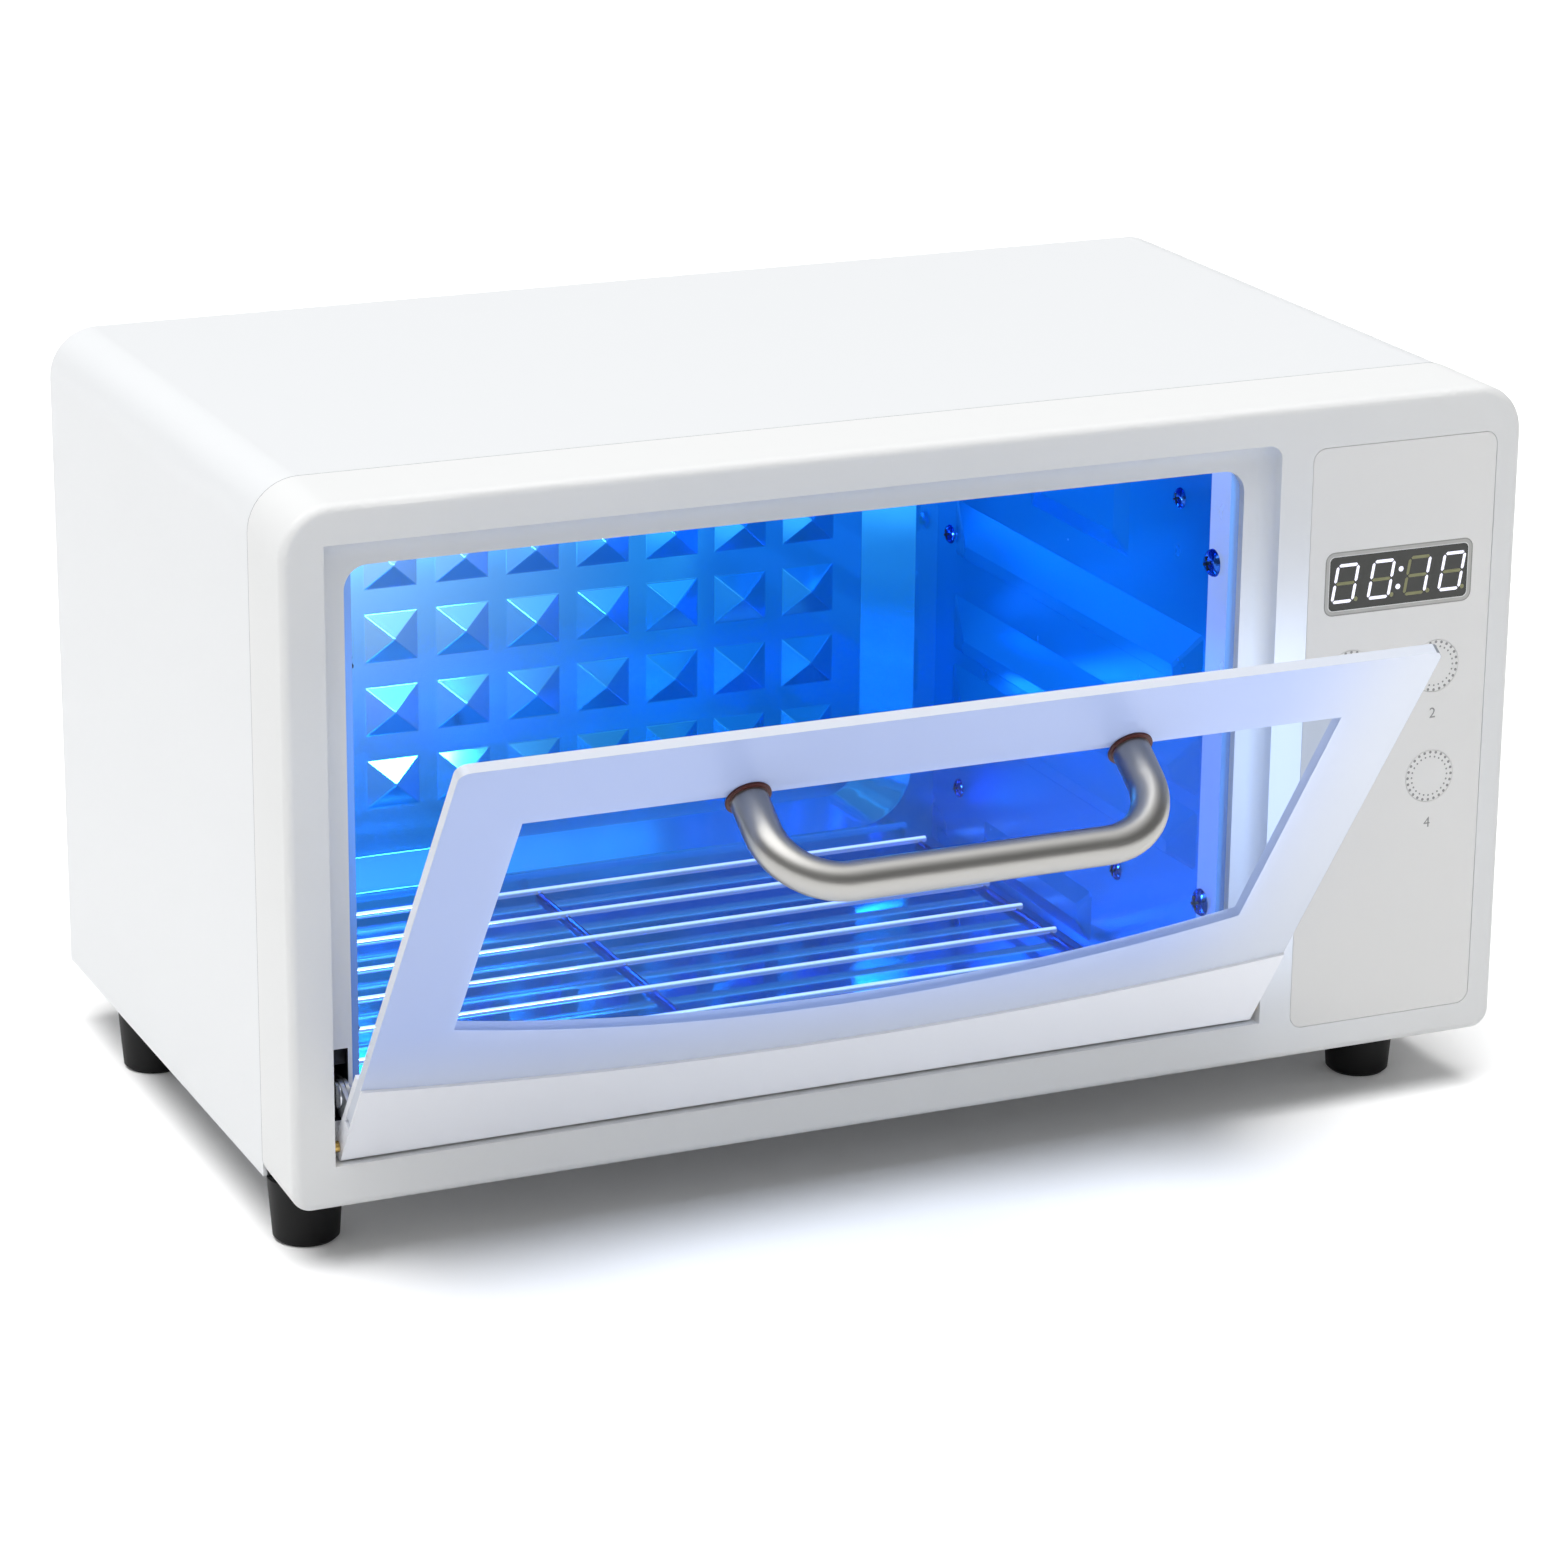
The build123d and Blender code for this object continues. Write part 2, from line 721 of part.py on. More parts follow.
def make_ear(left):
    """One hinge ear with its rivet, at the left end of the rail."""
    ear_x = (left + ear_from_end, left + ear_from_end + ear_thickness)
    boss = Pos(rivet_y, rivet_z) * Circle(ear_boss)
    neck_low = slot_low + ear_neck_rise
    neck_high = neck_low + 2 * ear_boss
    neck = Pos(rail_rear + 0.25, (neck_low + neck_high) / 2) * Rectangle(0.5, neck_high - neck_low)
    profile = make_hull((boss.edges() + neck.edges()))
    ear = extrude(siding(ear_x[0]) * profile, ear_thickness) + ear_root(left)
    link_x = ear_x[1] + link_gap
    end_x = link_x + link_thickness + link_gap
    body = rod((ear_x[0], rivet_y, rivet_z), (end_x, rivet_y, rivet_z), rivet_diameter / 2)
    hole = rod((ear_x[0] - 1, rivet_y, rivet_z), (ear_x[1] + 1, rivet_y, rivet_z), rivet_diameter / 2)
    head = pan_head((ear_x[0], rivet_y, rivet_z), (-1, 0, 0), rivet_head, rivet_head_height)
    foot = rod((end_x, rivet_y, rivet_z), (end_x + rivet_foot_height, rivet_y, rivet_z), rivet_foot / 2)
    return ear - hole, body + head + foot


def turned(pieces):
    """Turns what is drawn on the shut door to the door's resting angle."""
    there = Pos(0, hinge_y, hinge_z) * Rot(door_rest_angle, 0, 0) * Pos(0, -hinge_y, -hinge_z)
    if isinstance(pieces, list):
        return [there * piece for piece in pieces]
    return there * pieces


def resting_rivet():
    """The rivet's place with the door at rest."""
    angle = math.radians(door_rest_angle)
    y = hinge_y + rivet_back * math.cos(angle) - rivet_up * math.sin(angle)
    z = hinge_z + rivet_back * math.sin(angle) + rivet_up * math.cos(angle)
    return y, z


def make_hinge():
    """Pins, links, springs and the brackets that the springs pull on."""
    left = chamber_centre - half_door
    pin_start = left - recess_side_gap - bezel_wall - pin_boss_length + pin_boss_wall
    pin_tip = left + pin_reach - pin_end_gap
    pin = rod((pin_start, hinge_y, hinge_z), (pin_tip, hinge_y, hinge_z), pin_diameter / 2)
    rest_y, rest_z = resting_rivet()
    link_x = left + ear_from_end + ear_thickness + link_gap
    tail_y = rest_y + link_length
    anchor_y = tail_y + spring_length
    boss = Pos(rest_y, rest_z) * Circle(link_boss)
    arm = Pos((rest_y + tail_y) / 2, rest_z) * Rectangle(link_length, link_width)
    tail = Pos(tail_y, rest_z) * Circle(link_width / 2)
    link = extrude(siding(link_x) * (boss + arm + tail), link_thickness)
    bore = rivet_diameter / 2 + pin_clearance
    link -= rod((link_x - 1, rest_y, rest_z), (link_x + 2, rest_y, rest_z), bore)
    link -= rod((link_x - 1, tail_y, rest_z), (link_x + 2, tail_y, rest_z), hook_hole / 2)

    middle_x = link_x + link_thickness / 2
    foot_x = (link_x - anchor_width / 2, link_x + link_thickness)
    anchor = block(
        (link_x, link_x + link_thickness),
        (anchor_y - anchor_width / 2, anchor_y + anchor_width / 2),
        (casing_sheet, rest_z + anchor_over),
    )
    anchor += block(
        foot_x,
        (anchor_y - anchor_width / 2, anchor_y + anchor_width / 2),
        (casing_sheet, casing_sheet + link_thickness),
    )
    anchor -= rod((link_x - 1, anchor_y, rest_z), (link_x + 2, anchor_y, rest_z), hook_hole / 2)
    spring = make_spring(middle_x, tail_y, anchor_y, rest_z)

    nodes = {
        "hinge_pins": [pin, mirrored(pin)],
        "left_link": link,
        "right_link": mirrored(link),
        "left_spring": spring,
        "right_spring": Pos(2 * (chamber_centre - middle_x), 0, 0) * spring,
        "spring_anchors": [anchor, mirrored(anchor)],
    }
    return nodes


def make_spring(x, start_y, end_y, z):
    """A close-wound tension spring: its coil as a sleeve, with a bent tail at each end.

    Each tail runs beside the plate that it pulls on and crosses through the plate's hole."""
    coil = (start_y + spring_tail, end_y - spring_tail)
    outer = rod((x, coil[0], z), (x, coil[1], z), spring_diameter / 2)
    inner = rod((x, coil[0] + spring_wire, z), (x, coil[1] - spring_wire, z), spring_diameter / 2 - spring_wire)
    spring = outer - inner
    beside = link_thickness / 2 + spring_wire / 2 + hook_aside
    for hook_y, coil_y in ((start_y, coil[0]), (end_y, coil[1])):
        spring += shank((x, coil_y, z), (x - beside, hook_y, z), spring_wire / 2)
        spring += shank((x - beside - spring_wire / 2, hook_y, z), (x + beside, hook_y, z), spring_wire / 2)
    return spring


def bump(x, outer_y, outer_z, inner_y, inner_z, depth, side):
    """A pressed form in a side wall: a low frustum that stands depth into the chamber."""
    base = siding(x) * framed(outer_y, outer_z)
    crest = siding(x + side * depth) * framed(inner_y, inner_z)
    return loft([base, crest], ruled=True)


def make_side_liner():
    """The left wall of the chamber. The right one is its mirror image."""
    face = chamber_centre - half_chamber
    outside = face - liner_sheet
    front = inner_wall
    wall = block((outside, face), (front, chamber_back), (chamber_floor, chamber_ceiling))
    wall += block((face - jamb_fold, face), (front, front + liner_sheet), (chamber_floor, chamber_ceiling))
    forms = []
    for low in rib_lows:
        crest_low = low + rib_crest_rise
        forms.append(
            (
                (rib_front, rib_back),
                (low, low + rib_height),
                (rib_front + rib_end_slope, rib_back - rib_end_slope),
                (crest_low, crest_low + rib_crest),
                rib_depth,
            )
        )
    for start, length, low, tall in (
        (panel_front, panel_length, panel_low, panel_tall),
        (foot_panel_front, foot_panel_length, foot_panel_low, foot_panel_tall),
    ):
        slope = min(panel_slope, tall / 3)
        forms.append(
            (
                (start, start + length),
                (low, low + tall),
                (start + slope, start + length - slope),
                (low + slope, low + tall - slope),
                panel_depth,
            )
        )
    for outer_y, outer_z, inner_y, inner_z, depth in forms:
        wall += bump(face, outer_y, outer_z, inner_y, inner_z, depth, 1)
        wall -= bump(outside, outer_y, outer_z, inner_y, inner_z, depth, 1)
    for y, z in wall_screw_places + tuple((front + lug_length / 2, z) for z in jamb_screw_heights):
        wall -= rod((outside - 1, y, z), (face + 1, y, z), wall_screw / 2)
    return wall


def make_back_liner():
    """The back wall: a flange round a sloped tray with rows of hollow pyramids."""
    left = chamber_centre - half_chamber
    right = chamber_centre + half_chamber
    sheet = block((left, right), (chamber_back, chamber_back + liner_sheet), (chamber_floor, chamber_ceiling))
    mouth_x = (left + tray_other_side, right - tray_side)
    mouth_z = (chamber_floor + tray_low, chamber_ceiling - tray_low)
    floor_x = (mouth_x[0] + tray_side_slope, mouth_x[1] - tray_side_slope)
    floor_z = (mouth_z[0] + tray_low_slope, mouth_z[1] - tray_low_slope)

    def tray(shift):
        near = facing(chamber_back + shift) * rounded(mouth_x, mouth_z, tray_corner)
        far = facing(chamber_back + shift + tray_depth) * rounded(floor_x, floor_z, tray_floor_corner)
        return loft([near, far], ruled=True)

    sheet = sheet + tray(liner_sheet) - tray(0)
    tray_y = chamber_back + tray_depth
    centre_x = chamber_centre + pyramid_shift
    centre_z = (mouth_z[0] + mouth_z[1]) / 2
    solid_forms, hollow_forms = [], []
    inset_x = (pyramid_width - pyramid_tip) / 2
    inset_z = (pyramid_tall - pyramid_tip) / 2
    form = Wedge(
        pyramid_width,
        pyramid_height,
        pyramid_tall,
        inset_x,
        inset_z,
        inset_x + pyramid_tip,
        inset_z + pyramid_tip,
        align=(Align.CENTER, Align.MIN, Align.CENTER),
    )
    form = Rot(0, 0, 180) * form
    pyramid_columns = int((floor_x[1] - floor_x[0]) // pyramid_pitch_x)
    pyramid_rows = int((floor_z[1] - floor_z[0]) // pyramid_pitch_z)
    for column in range(pyramid_columns):
        for row in range(pyramid_rows):
            x = centre_x + (column - (pyramid_columns - 1) / 2) * pyramid_pitch_x
            z = centre_z + (row - (pyramid_rows - 1) / 2) * pyramid_pitch_z
            solid_forms.append(Pos(x, tray_y, z) * form)
            hollow_forms.append(Pos(x, tray_y + liner_sheet, z) * form)
    sheet = sheet + solid_forms
    return sheet - hollow_forms


def make_chamber():
    """The stainless chamber, the screws that hold it and the rack on its floor."""
    left = chamber_centre - half_chamber
    right = chamber_centre + half_chamber
    outer_left = left - liner_sheet
    outer_right = right + liner_sheet
    side = make_side_liner()
    top = block(
        (outer_left, outer_right),
        (inner_wall, chamber_back + liner_sheet),
        (chamber_ceiling, chamber_ceiling + liner_sheet),
    )
    under = chamber_floor - liner_sheet
    floor = block((outer_left, outer_right), (inner_wall, chamber_back + liner_sheet), (under, chamber_floor))
    floor += block(
        (left, right),
        (inner_wall, inner_wall + liner_sheet),
        (chamber_floor - liner_sheet, chamber_floor + floor_lip),
    )
    skirt_front = bezel_depth + seam_gap + casing_sheet
    for edge in (outer_left, outer_right - liner_sheet):
        floor += block(
            (edge, edge + liner_sheet), (skirt_front, chamber_back), (casing_sheet, chamber_floor)
        )

    screws = []
    spots = [(y, z, wall_screw_head, wall_screw_height) for y, z in wall_screw_places]
    spots += [(inner_wall + lug_length / 2, z, screw_head, screw_head_height) for z in jamb_screw_heights]
    for y, z, head, height in spots:
        screw = shank((outer_left - wall_screw_reach, y, z), (left, y, z), wall_screw / 2)
        screw += pan_head((left, y, z), (1, 0, 0), head, height)
        screws += [screw, mirrored(screw)]
    return {
        "liner_left": side,
        "liner_right": mirrored(side),
        "liner_back": make_back_liner(),
        "liner_top": top,
        "liner_floor": floor,
        "liner_screws": screws,
    }


def make_rack():
    """A grid of welded wires that lies on the chamber floor, turned up at the rear."""
    radius = rack_wire / 2
    low = chamber_floor + radius
    high = low + rack_wire - rack_weld
    left = chamber_centre - rack_width / 2
    right = chamber_centre + rack_width / 2
    pitch = (rack_last - rack_first) / (rack_wires - 1)
    front = rack_first - 2 * radius
    rear = rack_last + 2 * radius
    wires = []
    for x in (left, chamber_centre + rack_support_shift, right):
        wires.append(shank((x, front, low), (x, rear, low), radius))
    for number in range(rack_wires):
        y = rack_first + number * pitch
        wires.append(shank((left - 2 * radius, y, high), (right + 2 * radius, y, high), radius))
    return {"wire_rack": wires[0] + wires[1:]}


def make_lamp():
    """The ultraviolet tube, its end caps and holders, and the reflector over it."""
    half = lamp_length / 2
    radius = lamp_diameter / 2
    glass_half = half - lamp_cap_length
    tube = rod(
        (chamber_centre - glass_half, lamp_y, lamp_z), (chamber_centre + glass_half, lamp_y, lamp_z), radius
    )
    cap = rod(
        (chamber_centre - half, lamp_y, lamp_z),
        (chamber_centre - glass_half, lamp_y, lamp_z),
        radius + lamp_cap_rim,
    )
    holder_x = (chamber_centre - half - holder_thickness, chamber_centre - half)
    outline = Pos(lamp_y, lamp_z) * Circle(holder_below)
    outline += Pos(lamp_y, (lamp_z + chamber_ceiling) / 2) * Rectangle(
        holder_width, chamber_ceiling - lamp_z
    )
    holder = extrude(siding(holder_x[0]) * outline, holder_thickness)
    for step in (-1, 1):
        y = lamp_y + step * lamp_pin_pitch / 2
        start = (holder_x[1] - lamp_pin_length, y, lamp_z)
        cap += rod(start, (holder_x[1] + 1, y, lamp_z), lamp_pin / 2)
        holder -= rod(start, (holder_x[1] + 1, y, lamp_z), lamp_pin / 2)
    crown = reflector_crown / 2
    edge = reflector_width / 2
    under = chamber_ceiling - liner_sheet
    drop = under - reflector_depth
    profile = Polyline(
        (lamp_y - edge, drop),
        (lamp_y - crown, under),
        (lamp_y + crown, under),
        (lamp_y + edge, drop),
        (lamp_y + edge, drop + liner_sheet),
        (lamp_y + crown, chamber_ceiling),
        (lamp_y - crown, chamber_ceiling),
        (lamp_y - edge, drop + liner_sheet),
        close=True,
    )
    start_x = chamber_centre - half + reflector_end_gap
    reflector = extrude(siding(start_x) * make_face(profile), lamp_length - 2 * reflector_end_gap)
    return {
        "uv_lamp": tube,
        "lamp_caps": [cap, mirrored(cap)],
        "lamp_holders": [holder, mirrored(holder)],
        "lamp_reflector": reflector,
    }


def board_corners():
    """The four fixing points of the control board."""
    half = board_width / 2 - board_inset
    return [
        (film_centre + side * half, z)
        for side in (-1, 1)
        for z in (board_low + board_inset, board_high - board_inset)
    ]


def make_controls():
    """Film, display lens and body, keys, switches and the board that carries them."""
    film_x = (film_left, film_left + film_width)
    film = slab(film_x, (film_bottom, film_bottom + film_height), (film_sunk, film_back), film_corner)
    lens_x = (display_centre - display_width / 2, display_centre + display_width / 2)
    lens_z = (display_bottom, display_bottom + display_height)
    film -= slab(lens_x, lens_z, (-1, film_back + 1), display_corner)
    lens_back = film_sunk + display_lens
    lens = slab(lens_x, lens_z, (film_sunk, lens_back), display_corner)
    body_z = (display_z - display_height / 2, display_z + display_height / 2)
    module = slab(lens_x, body_z, (lens_back, bezel_wall), display_corner)
    wide_z = (display_z - display_body_height / 2, display_z + display_body_height / 2)
    wide_x = (lens_x[0] - display_body_side, lens_x[1] + display_body_side)
    module += block(wide_x, (bezel_wall, board_y), wide_z)

    board_x = (film_centre - board_width / 2, film_centre + board_width / 2)
    board = block(board_x, (board_y, board_y + board_thickness), (board_low, board_high))
    screws, switches, keys = [], [], {}
    for x, z in board_corners():
        board -= rod((x, board_y - 1, z), (x, board_y + board_thickness + 1, z), board_screw / 2)
        behind = board_y + board_thickness
        body = shank((x, bezel_wall + board_screw_reach, z), (x, behind, z), board_screw / 2)
        screws.append(body + pan_head((x, behind, z), (0, 1, 0), board_screw_head, board_screw_height))
    switch_front = board_y - switch_height
    button_front = switch_front - switch_button_height
    flange_front = bezel_wall + flange_gap
    flange_back = flange_front + plunger_flange_thickness
    for number, (x, z) in enumerate(key_places, start=1):
        film -= rod((x, -1, z), (x, film_back + 1, z), key_diameter / 2 + key_gap)
        half = switch_size / 2
        switch = block((x - half, x + half), (switch_front, board_y), (z - half, z + half))
        switch += rod((x, button_front, z), (x, switch_front, z), switch_button / 2)
        switches.append(switch)
        key = rod((x, film_sunk, z), (x, film_back, z), key_diameter / 2)
        key += rod((x, film_back, z), (x, flange_back, z), plunger_diameter / 2)
        key += rod((x, flange_front, z), (x, flange_back, z), plunger_flange / 2)
        tip = button_front - key_travel - switch_button_gap
        key += rod((x, flange_back, z), (x, tip, z), plunger_stem / 2)
        keys[f"key_{number}"] = key
    nodes = {
        "control_film": film,
        "display_lens": lens,
        "display_module": module,
        "control_board": board,
        "control_board_screws": screws,
        "tact_switches": switches,
    }
    nodes.update(keys)
    return nodes


def make_power():
    """Inlet, power board with its parts, standoffs and the lamp's ballast."""
    back = back_face
    body_x = (inlet_x - inlet_width / 2, inlet_x + inlet_width / 2)
    body_z = (inlet_z - inlet_height / 2, inlet_z + inlet_height / 2)
    inlet = slab(body_x, body_z, (back - inlet_depth, back), inlet_corner)
    inlet += slab(
        (body_x[0] - inlet_rim, body_x[1] + inlet_rim),
        (body_z[0] - inlet_rim, body_z[1] + inlet_rim),
        (back, back + inlet_flange),
        inlet_corner + inlet_rim / 2,
    )
    mouth = back + inlet_flange
    inlet -= slab(
        (inlet_x - socket_width / 2, inlet_x + socket_width / 2),
        (inlet_z - socket_height / 2, inlet_z + socket_height / 2),
        (mouth - socket_depth, mouth + 1),
        socket_height * 0.49,
    )
    contacts = []
    for side in (-1, 1):
        x = inlet_x + side * socket_pin_pitch / 2
        contacts.append(
            rod(
                (x, back - inlet_depth - contact_tail, inlet_z),
                (x, mouth - contact_sunk, inlet_z),
                socket_pin / 2,
            )
        )
    inlet -= contacts

    board_z = casing_sheet + standoff_height
    top_z = board_z + board_thickness
    half_x = power_board_width / 2
    half_y = power_board_length / 2
    board = block(
        (power_board_x - half_x, power_board_x + half_x),
        (power_board_y - half_y, power_board_y + half_y),
        (board_z, top_z),
    )
    standoffs = []
    for side in (-1, 1):
        for end in (-1, 1):
            x = power_board_x + side * (half_x - board_inset)
            y = power_board_y + end * (half_y - board_inset)
            column = Pos(x, y, casing_sheet) * RegularPolygon(standoff_diameter / 2, 6)
            post = extrude(column, standoff_height)
            pin = shank((x, y, board_z), (x, y, top_z + standoff_pin_height), standoff_pin / 2)
            standoffs.append(post + pin)
            board -= rod((x, y, board_z - 1), (x, y, top_z + 1), standoff_pin / 2)
    parts = [
        standing(power_board_x + place[0], power_board_y + place[1], top_z, size)
        for place, size in (
            (transformer_place, transformer_size),
            (choke_place, choke_size),
            (terminal_place, terminal_size),
        )
    ]
    x = power_board_x + capacitor_place[0]
    y = power_board_y + capacitor_place[1]
    parts.append(rod((x, y, top_z), (x, y, top_z + capacitor_height), capacitor_diameter / 2))
    ballast = standing(ballast_x, ballast_y, casing_sheet, ballast_size)
    return {
        "power_inlet": inlet,
        "inlet_contacts": contacts,
        "power_board": board,
        "board_standoffs": standoffs,
        "power_parts": parts,
        "lamp_ballast": ballast,
    }


def make_feet():
    """Four tapered rubber feet with a screw up the middle of each."""
    feet, screws = [], []
    drop = foot_height
    for x, y in foot_places():
        cone = Pos(x, y, -drop / 2) * Cone(foot_bottom / 2, foot_top / 2, drop)
        cone = chamfer(cone.edges().sort_by(Axis.Z)[0], foot_edge)
        well = rod((x, y, -drop - 1), (x, y, -drop + foot_well_depth), foot_well / 2)
        hole = rod((x, y, -drop), (x, y, 1), foot_screw / 2)
        feet.append(cone - well - hole)
        head_z = -drop + foot_well_depth
        body = shank((x, y, head_z), (x, y, head_z + foot_screw_length), foot_screw / 2)
        screws.append(body + pan_head((x, y, head_z), (0, 0, -1), foot_screw_head, foot_screw_height))
    return {"feet": feet, "foot_screws": screws}


def all_nodes():
    """Every piece by name, where it was drawn."""
    nodes = {}
    for make in (
        make_casing,
        make_bezel,
        make_door,
        make_hinge,
        make_chamber,
        make_rack,
        make_lamp,
        make_controls,
        make_power,
        make_feet,
    ):
        nodes.update(make())
    return nodes


def origin_shift(nodes):
    """The move that puts the origin at the bottom middle of the filled box."""
    boxes = [piece.bounding_box() for pieces in nodes.values() for piece in as_list(pieces)]
    x = (min(box.min.X for box in boxes) + max(box.max.X for box in boxes)) / 2
    y = (min(box.min.Y for box in boxes) + max(box.max.Y for box in boxes)) / 2
    z = min(box.min.Z for box in boxes)
    return Vector(-x, -y, -z)


def as_list(pieces):
    """One solid or a group of them, as a list."""
    return list(pieces) if isinstance(pieces, list) else [pieces]


os.makedirs("parts", exist_ok=True)
drawn = all_nodes()
shift = origin_shift(drawn)
for name, pieces in drawn.items():
    solids = [solid.moved(Location(shift)) for piece in as_list(pieces) for solid in piece.solids()]
    export_step(Compound(children=solids), f"parts/{name}.step")
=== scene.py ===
import json
import math

import bmesh
import bpy
from bmesh.types import BMEdge, BMVert
from bpy.props import FloatProperty, FloatVectorProperty, IntProperty, PointerProperty, StringProperty
from mathutils import Matrix, Vector


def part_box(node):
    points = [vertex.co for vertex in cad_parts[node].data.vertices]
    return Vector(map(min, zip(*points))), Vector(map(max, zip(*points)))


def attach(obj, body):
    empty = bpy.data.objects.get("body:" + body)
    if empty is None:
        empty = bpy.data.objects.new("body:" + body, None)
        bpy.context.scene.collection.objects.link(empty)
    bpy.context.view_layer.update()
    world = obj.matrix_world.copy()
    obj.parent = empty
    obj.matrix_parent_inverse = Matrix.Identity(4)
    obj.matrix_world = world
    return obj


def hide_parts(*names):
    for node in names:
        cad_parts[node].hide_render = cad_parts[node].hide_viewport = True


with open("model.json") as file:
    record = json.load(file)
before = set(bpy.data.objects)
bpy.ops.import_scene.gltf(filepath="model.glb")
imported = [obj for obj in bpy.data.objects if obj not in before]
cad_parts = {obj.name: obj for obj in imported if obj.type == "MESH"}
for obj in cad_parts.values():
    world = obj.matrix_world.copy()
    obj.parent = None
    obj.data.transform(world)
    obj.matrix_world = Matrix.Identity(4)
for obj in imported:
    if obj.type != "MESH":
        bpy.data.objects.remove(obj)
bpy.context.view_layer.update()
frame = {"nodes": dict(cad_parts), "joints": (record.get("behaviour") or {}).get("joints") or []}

bl_info = {
    "name": "Nail tool sterilizer cabinet",
    "version": (1, 0, 0),
    "blender": (4, 5, 0),
    "location": "View3D > Sidebar > Cabinet",
    "description": "Dresses the packed cabinet with its finishes, prints and small pieces",
    "category": "Object",
}

MM = 0.001
RIGHT_ANGLE = math.radians(90)
PHOTO_SIDE = 1560
SENSOR = 36.0

# Where things are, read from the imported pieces
hinge = next(joint for joint in frame["joints"] if joint["name"] == "door_hinge")
hinge_place = Vector(hinge["pos_m"])
rest_angle = -math.radians(hinge["range_deg"][0])
door_opened = (
    Matrix.Translation(hinge_place)
    @ Matrix.Rotation(rest_angle, 4, "X")
    @ Matrix.Translation(-hinge_place)
)
door_shut = door_opened.inverted()
film_low, film_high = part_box("control_film")
lens_low, lens_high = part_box("display_lens")
chamber_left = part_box("liner_left")[1].x
chamber_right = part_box("liner_right")[0].x
floor_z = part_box("liner_floor")[1].z

# From the chamber's left wall, where the lamp's light painted on the steel ends and where it is full
GLOW_END = 165 * MM
GLOW_FULL = 5 * MM
# Over the chamber's floor, where that painted light has its full colour and where its full strength
GLOW_HEIGHT = 120 * MM
CHAMBER_HEIGHT = 150 * MM
# The side liners' front lip, where the painted lamp light is pale, the shadow in the seam round the front,
# and the share of light from behind that the glass border lets through
LINER_LIP = 11 * MM
SEAM_WIDTH = 0.55 * MM
SEEN_THROUGH = 0.15
# A figure's height in the built-in font, as a share of the font's size
FIGURE_SHARE = 0.7
# What a ramp is given, in this order, and the setting that makes it start and end softly
RAMP = ("Value", "From Min", "From Max", "To Min", "To Max")
SOFT = {"interpolation_type": "SMOOTHSTEP"}


def linear(hex_colour):
    """Turns an sRGB hex colour into the linear one that Blender works in."""
    parts = [int(hex_colour[start : start + 2], 16) / 255 for start in (1, 3, 5)]
    curved = [part / 12.92 if part <= 0.04045 else ((part + 0.055) / 1.055) ** 2.4 for part in parts]
    return (*curved, 1.0)


def colour_property(name, hex_colour, description):
    """A colour that a user can change, with its default given in sRGB."""
    return FloatVectorProperty(
        name=name,
        description=description,
        default=linear(hex_colour),
        size=4,
        min=0.0,
        max=1.0,
        subtype="COLOR",
    )


def length_property(name, millimetres, description):
    """A length that a user can change, with its default given in millimetres."""
    return FloatProperty(
        name=name,
        description=description,
        default=millimetres * MM,
        min=0.0,
        unit="LENGTH",
        subtype="DISTANCE",
    )


def angle_property(name, degrees, description):
    """An angle that a user can change, with its default given in degrees."""
    return FloatProperty(name=name, description=description, default=math.radians(degrees), subtype="ANGLE")


def number_property(name, number, description):
    """A strength or another plain number that a user can change."""
    return FloatProperty(name=name, description=description, default=number, min=0.0)


class CabinetSizes(bpy.types.PropertyGroup):
    """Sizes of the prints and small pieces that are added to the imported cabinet."""

    window_left: length_property("Window left margin", 21.0, "Printed border at the left of the glass")
    window_right: length_property("Window right margin", 21.8, "Printed border at the right of the glass")
    window_top: length_property("Window top margin", 23.3, "Printed border over the clear window")
    window_ends: length_property("Window low ends", 40.3, "Window's lower corners over the glass foot")
    window_middle: length_property("Window low middle", 25.5, "The arc's lowest point over the glass foot")
    handle_bend: length_property("Handle bend", 18.0, "Radius of the handle's bends at the tube's middle")
    rack_wire: length_property("Rack wire", 2.0, "Diameter of the rack's wires")
    digit_height: length_property("Digit height", 11.2, "Height of a display digit")
    digit_width: length_property("Digit width", 7.3, "Width of a display digit at its foot")
    digit_stroke: length_property("Digit stroke", 0.9, "Width of a display segment")
    digit_gap: length_property("Digit gap", 0.5, "Gap between neighbouring segments")
    ring_outer: length_property("Ring outer radius", 7.0, "Radius of a key's outer ring of dots")
    ring_inner: length_property("Ring inner radius", 5.7, "Radius of a key's inner ring of dots")
    dot_outer: length_property("Outer dot radius", 0.42, "Radius of an outer dot")
    dot_inner: length_property("Inner dot radius", 0.28, "Radius of an inner dot")
    number_height: length_property("Key number height", 3.0, "Height of the number printed under a key")
    number_drop: length_property("Key number drop", 12.2, "From a key's middle down to its number")
    ink_height: length_property("Ink height", 0.02, "Thickness of a print")


